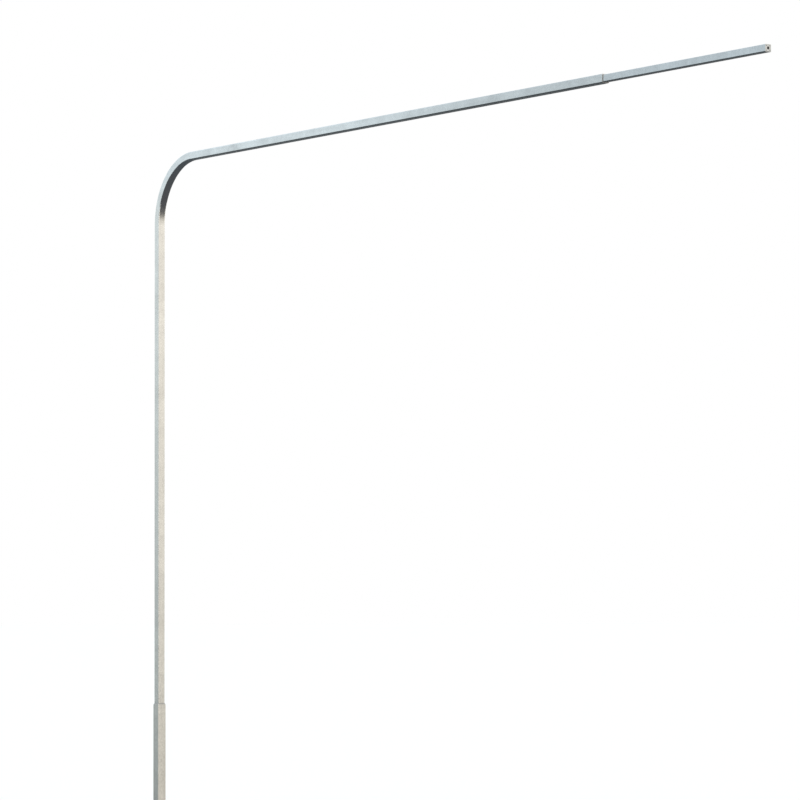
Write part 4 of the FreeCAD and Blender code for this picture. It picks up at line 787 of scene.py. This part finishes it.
feed(screw_tree, turned_round, 1, spun.outputs[0])
copies = add_node(screw_tree, "GeometryNodeInstanceOnPoints")
feed(screw_tree, copies, "Points", screw_in["Geometry"])
feed(screw_tree, copies, "Instance", source.outputs["Geometry"])
feed(screw_tree, copies, "Rotation", turned_round.outputs[0])
close_tree(screw_tree, screw_end, copies.outputs[0], screw_in["Material"])


def screws(name, node, body, spots, direction, seed, sizes):
    """A set of pan head screws that stands for a node's plain ones."""
    pattern = bpy.data.objects.new(name + "_pattern", pan_head(name + "_one", *sizes))
    scene.collection.objects.link(pattern)
    start = bpy.data.meshes.new(name + "_spots")
    start.from_pydata(spots, [], [])
    piece = grow(name, screw_tree, start, body, "stainless_screw", screw=pattern,
                 direction=direction, seed=seed)
    bpy.data.objects.remove(pattern)
    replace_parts(piece, node)
    return piece


# %% Place the screws
BOARD_SCREWS = [(0.0435, 0.0, 0.810), (0.0435, 0.0, 1.050)]
RAIL_SCREWS = [(0.0425, side, level) for side in (-0.025, 0.025) for level in (0.850, 0.965)]
CLAMP_SCREWS = [(0.028, -0.013, 1.0925), (0.028, 0.013, 1.0925)]
LOCK_Y = -0.024
LOCK_LEVELS = {"lower": 0.830, "upper": 1.030}
PAWL_BACK = -0.0484
FRONT = (-1.0, 0.0, 0.0)
BACK = (1.0, 0.0, 0.0)
# Head radius, head height, shank radius and shank length
BOARD_SCREW = (0.0055, 0.0035, 0.003, 0.0075)
RAIL_SCREW = (0.0045, 0.0025, 0.0025, 0.0035)
CLAMP_SCREW = (0.004, 0.0025, 0.0025, 0.018)
PAWL_SCREW = (0.0047, 0.0026, 0.002, 0.006)
PAWL_SEEDS = {"lower": 2, "upper": 9}
screws("board_screw_set", "plate_screws", "post", BOARD_SCREWS, FRONT, 1, BOARD_SCREW)
screws("rail_screw_set", "rail_screws", "post", RAIL_SCREWS, FRONT, 4, RAIL_SCREW)
screws("clamp_screw_set", "clamp_screws", "post", CLAMP_SCREWS, FRONT, 7, CLAMP_SCREW)
for side, level in LOCK_LEVELS.items():
    screws(f"pawl_screw_{side}", f"lock_screw_{side}", f"{side}_lock", [(PAWL_BACK, LOCK_Y, level)], BACK,
           PAWL_SEEDS[side], PAWL_SCREW)

# %% [markdown]
# ## Nuts and the earth stud
# A nut is a hexagon whose corners are turned off by a shallow cone on both faces. The stud's thread
# is a tree that starts from a finely divided cylinder and draws each point in by how far it lies from
# the helix's crest.

# %% Nuts
CHAMFER = math.radians(30)
CHAMFER_START = 0.475
CONE_SPARE = 1.01
CONE_SIDES = 72
HEXAGON_SPARE = 0.001
BORE_SPARE = 0.002


def nut(name, flats, height, bore):
    """A chamfered hexagon nut about Z, its foot at Z = 0."""
    corner = flats / math.sqrt(3)
    angles = [math.radians(60 * step + 30) for step in range(6)]
    outline = [(corner * math.cos(angle), corner * math.sin(angle)) for angle in angles]
    face, rim = flats * CHAMFER_START, corner * CONE_SPARE
    drop = (corner - face) * math.tan(CHAMFER)
    cone = turned(name + "_cone", [(0, 0), (face, 0), (rim, drop), (rim, height - drop),
                                   (face, height), (0, height)], CONE_SIDES)
    block = prism(name + "_hexagon", outline, -HEXAGON_SPARE, height + HEXAGON_SPARE)
    body = combine(name, block, cone, "INTERSECT")
    low, high = -BORE_SPARE, height + BORE_SPARE
    hole = turned(name + "_bore", [(0, low), (bore, low), (bore, high), (0, high)])
    return combine(name, body, hole, "DIFFERENCE")


def laid(mesh, turn, spots):
    """Copies of a mesh, turned and set down on each spot, as one mesh."""
    form = bmesh.new()
    for spot in spots:
        before = len(form.verts)
        form.from_mesh(mesh)
        form.verts.ensure_lookup_table()
        bmesh.ops.transform(form, matrix=Matrix.Translation(spot) @ turn, verts=form.verts[before:])
    result = bpy.data.meshes.new(mesh.name + "_set")
    form.to_mesh(result)
    form.free()
    return result


ALONG_X = Matrix.Rotation(QUARTER, 4, "Y")
ALONG_Y = Matrix.Rotation(-QUARTER, 4, "X")
# Width across flats, height and bore radius
LOCK_NUT = (0.017, 0.004, 0.0065)
STUD_NUT = (0.013, 0.0065, 0.004)
LOCK_NUT_X = -0.063
STUD_NUT_Y = 0.0408
STUD_FOOT_Y = 0.027
STUD_LEVEL = 0.770
lock_nuts = laid(nut("lock_nut", *LOCK_NUT), ALONG_X,
                 [(LOCK_NUT_X, LOCK_Y, level) for level in LOCK_LEVELS.values()])
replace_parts(adopt("lock_nut_pair", lock_nuts, "door", "zinc_plated"), "lock_nuts")
stud_nut = laid(nut("stud_nut", *STUD_NUT), ALONG_Y, [(0, STUD_NUT_Y, STUD_LEVEL)])
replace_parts(adopt("earth_stud_nut", stud_nut, "post", "brass_stud"), "earth_nut")

# %% Thread tree
# Where the groove starts and where it is deepest, from crest to root
GROOVE_START, GROOVE_FLOOR = 0.15, 0.9
thread_tree, thread_in, thread_end = new_tree("thread", [
    ("Pitch", "Float"), ("Depth", "Float"), ("Radius", "Float"), ("Material", "Material")])
where = add_node(thread_tree, "ShaderNodeSeparateXYZ")
feed(thread_tree, where, 0, add_node(thread_tree, "GeometryNodeInputPosition").outputs[0])
bearing = math_node(thread_tree, "ARCTAN2", where.outputs[1], where.outputs[0])
around = math_node(thread_tree, "DIVIDE", bearing, math.tau)
rise = math_node(thread_tree, "DIVIDE", where.outputs[2], thread_in["Pitch"])
phase = math_node(thread_tree, "FRACT", math_node(thread_tree, "SUBTRACT", rise, around))
flank = math_node(thread_tree, "ABSOLUTE", math_node(thread_tree, "MULTIPLY_ADD", phase, 2.0, -1.0))
groove = remap(thread_tree, flank, GROOVE_START, GROOVE_FLOOR, 0.0, thread_in["Depth"])
share = math_node(thread_tree, "DIVIDE", groove, thread_in["Radius"])
draw_in = math_node(thread_tree, "SUBTRACT", 1.0, share)
moved = add_node(thread_tree, "ShaderNodeCombineXYZ")
for index in (0, 1):
    feed(thread_tree, moved, index, math_node(thread_tree, "MULTIPLY", where.outputs[index], draw_in))
feed(thread_tree, moved, 2, where.outputs[2])
cut_thread = add_node(thread_tree, "GeometryNodeSetPosition")
feed(thread_tree, cut_thread, "Geometry", thread_in["Geometry"])
feed(thread_tree, cut_thread, "Position", moved.outputs[0])
laid_down = add_node(thread_tree, "GeometryNodeTransform")
feed(thread_tree, laid_down, "Geometry", cut_thread.outputs[0])
feed(thread_tree, laid_down, "Rotation", (-QUARTER, 0.0, 0.0))
feed(thread_tree, laid_down, "Translation", (0.0, STUD_FOOT_Y, STUD_LEVEL))
close_tree(thread_tree, thread_end, laid_down.outputs[0], thread_in["Material"])

STUD_RADIUS = 0.004
STUD_LENGTH = 0.025
STUD_PITCH = 0.00125
STUD_LEAD = 0.0006
STUD_POINT = 0.84
STUD_SIDES = 32
THREAD_DEPTH = 0.00062
THREAD_ROWS = 160
threaded = STUD_LENGTH - STUD_LEAD
stud_profile = [(0, 0), (STUD_RADIUS * STUD_POINT, 0)]
stud_profile += [(STUD_RADIUS, STUD_LEAD + threaded * row / THREAD_ROWS) for row in range(THREAD_ROWS + 1)]
stud_profile.append((0, STUD_LENGTH))
stud = grow("earth_stud_thread", thread_tree, turned("stud_blank", stud_profile, STUD_SIDES), "post",
            "brass_stud", pitch=STUD_PITCH, depth=THREAD_DEPTH, radius=STUD_RADIUS)
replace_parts(stud, "earth_stud")

# %% [markdown]
# ## Softened edges
# No sheared plate or moulded case has a knife edge. Each block-like node is copied, its split corners
# are joined, and its sharp edges get a small round, which is what catches the light up close. A copy
# that doesn't come out closed is dropped, and the plain node stays.

# %% Round the sharp edges
SHARP = math.radians(50)
FLAT = math.radians(0.5)
SAME_SPOT = 1e-6
ROUND_SEGMENTS = 2


def softened(node, body, width):
    """A copy of a node with its sharp edges rounded, which stands for the plain one."""
    form = bmesh.new()
    form.from_mesh(frame["nodes"][node].data)
    bmesh.ops.remove_doubles(form, verts=form.verts, dist=SAME_SPOT)
    bmesh.ops.dissolve_limit(form, angle_limit=FLAT, verts=form.verts, edges=form.edges)
    edges = [edge for edge in form.edges
             if len(edge.link_faces) == 2 and edge.calc_face_angle(0) > SHARP]
    bmesh.ops.bevel(form, geom=edges, offset=width, offset_type="OFFSET", segments=ROUND_SEGMENTS,
                    profile=0.5, affect="EDGES", clamp_overlap=True)
    bmesh.ops.recalc_face_normals(form, faces=form.faces)
    open_edges = [edge for edge in form.edges if len(edge.link_faces) != 2]
    if open_edges:
        print(node, "kept plain:", len(open_edges), "open edges")
        form.free()
        return
    mesh = bpy.data.meshes.new(node + "_soft")
    form.to_mesh(mesh)
    form.free()
    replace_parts(adopt(node + "_soft", mesh, body, slot_of[node]), node)


SOFT_EDGES = [("base_flange", "post", 0.0015), ("base_gussets", "post", 0.0012),
              ("tip_end_plate", "post", 0.0008), ("door_leaf", "door", 0.0007),
              ("mounting_plate", "post", 0.0004), ("plate_brackets", "post", 0.0008),
              ("breaker_body", "post", 0.0006), ("fuse_holder_body", "post", 0.0006),
              ("live_terminals", "post", 0.0004), ("neutral_terminals", "post", 0.0004),
              ("earth_terminal", "post", 0.0004), ("rail_end_stops", "post", 0.0005),
              ("cable_clamp", "post", 0.0006), ("breaker_lever", "breaker_lever", 0.0004),
              ("fuse_carrier", "fuse_carrier", 0.0004), ("lock_housings", "door", 0.0004)]
for node, body, width in SOFT_EDGES:
    softened(node, body, width)
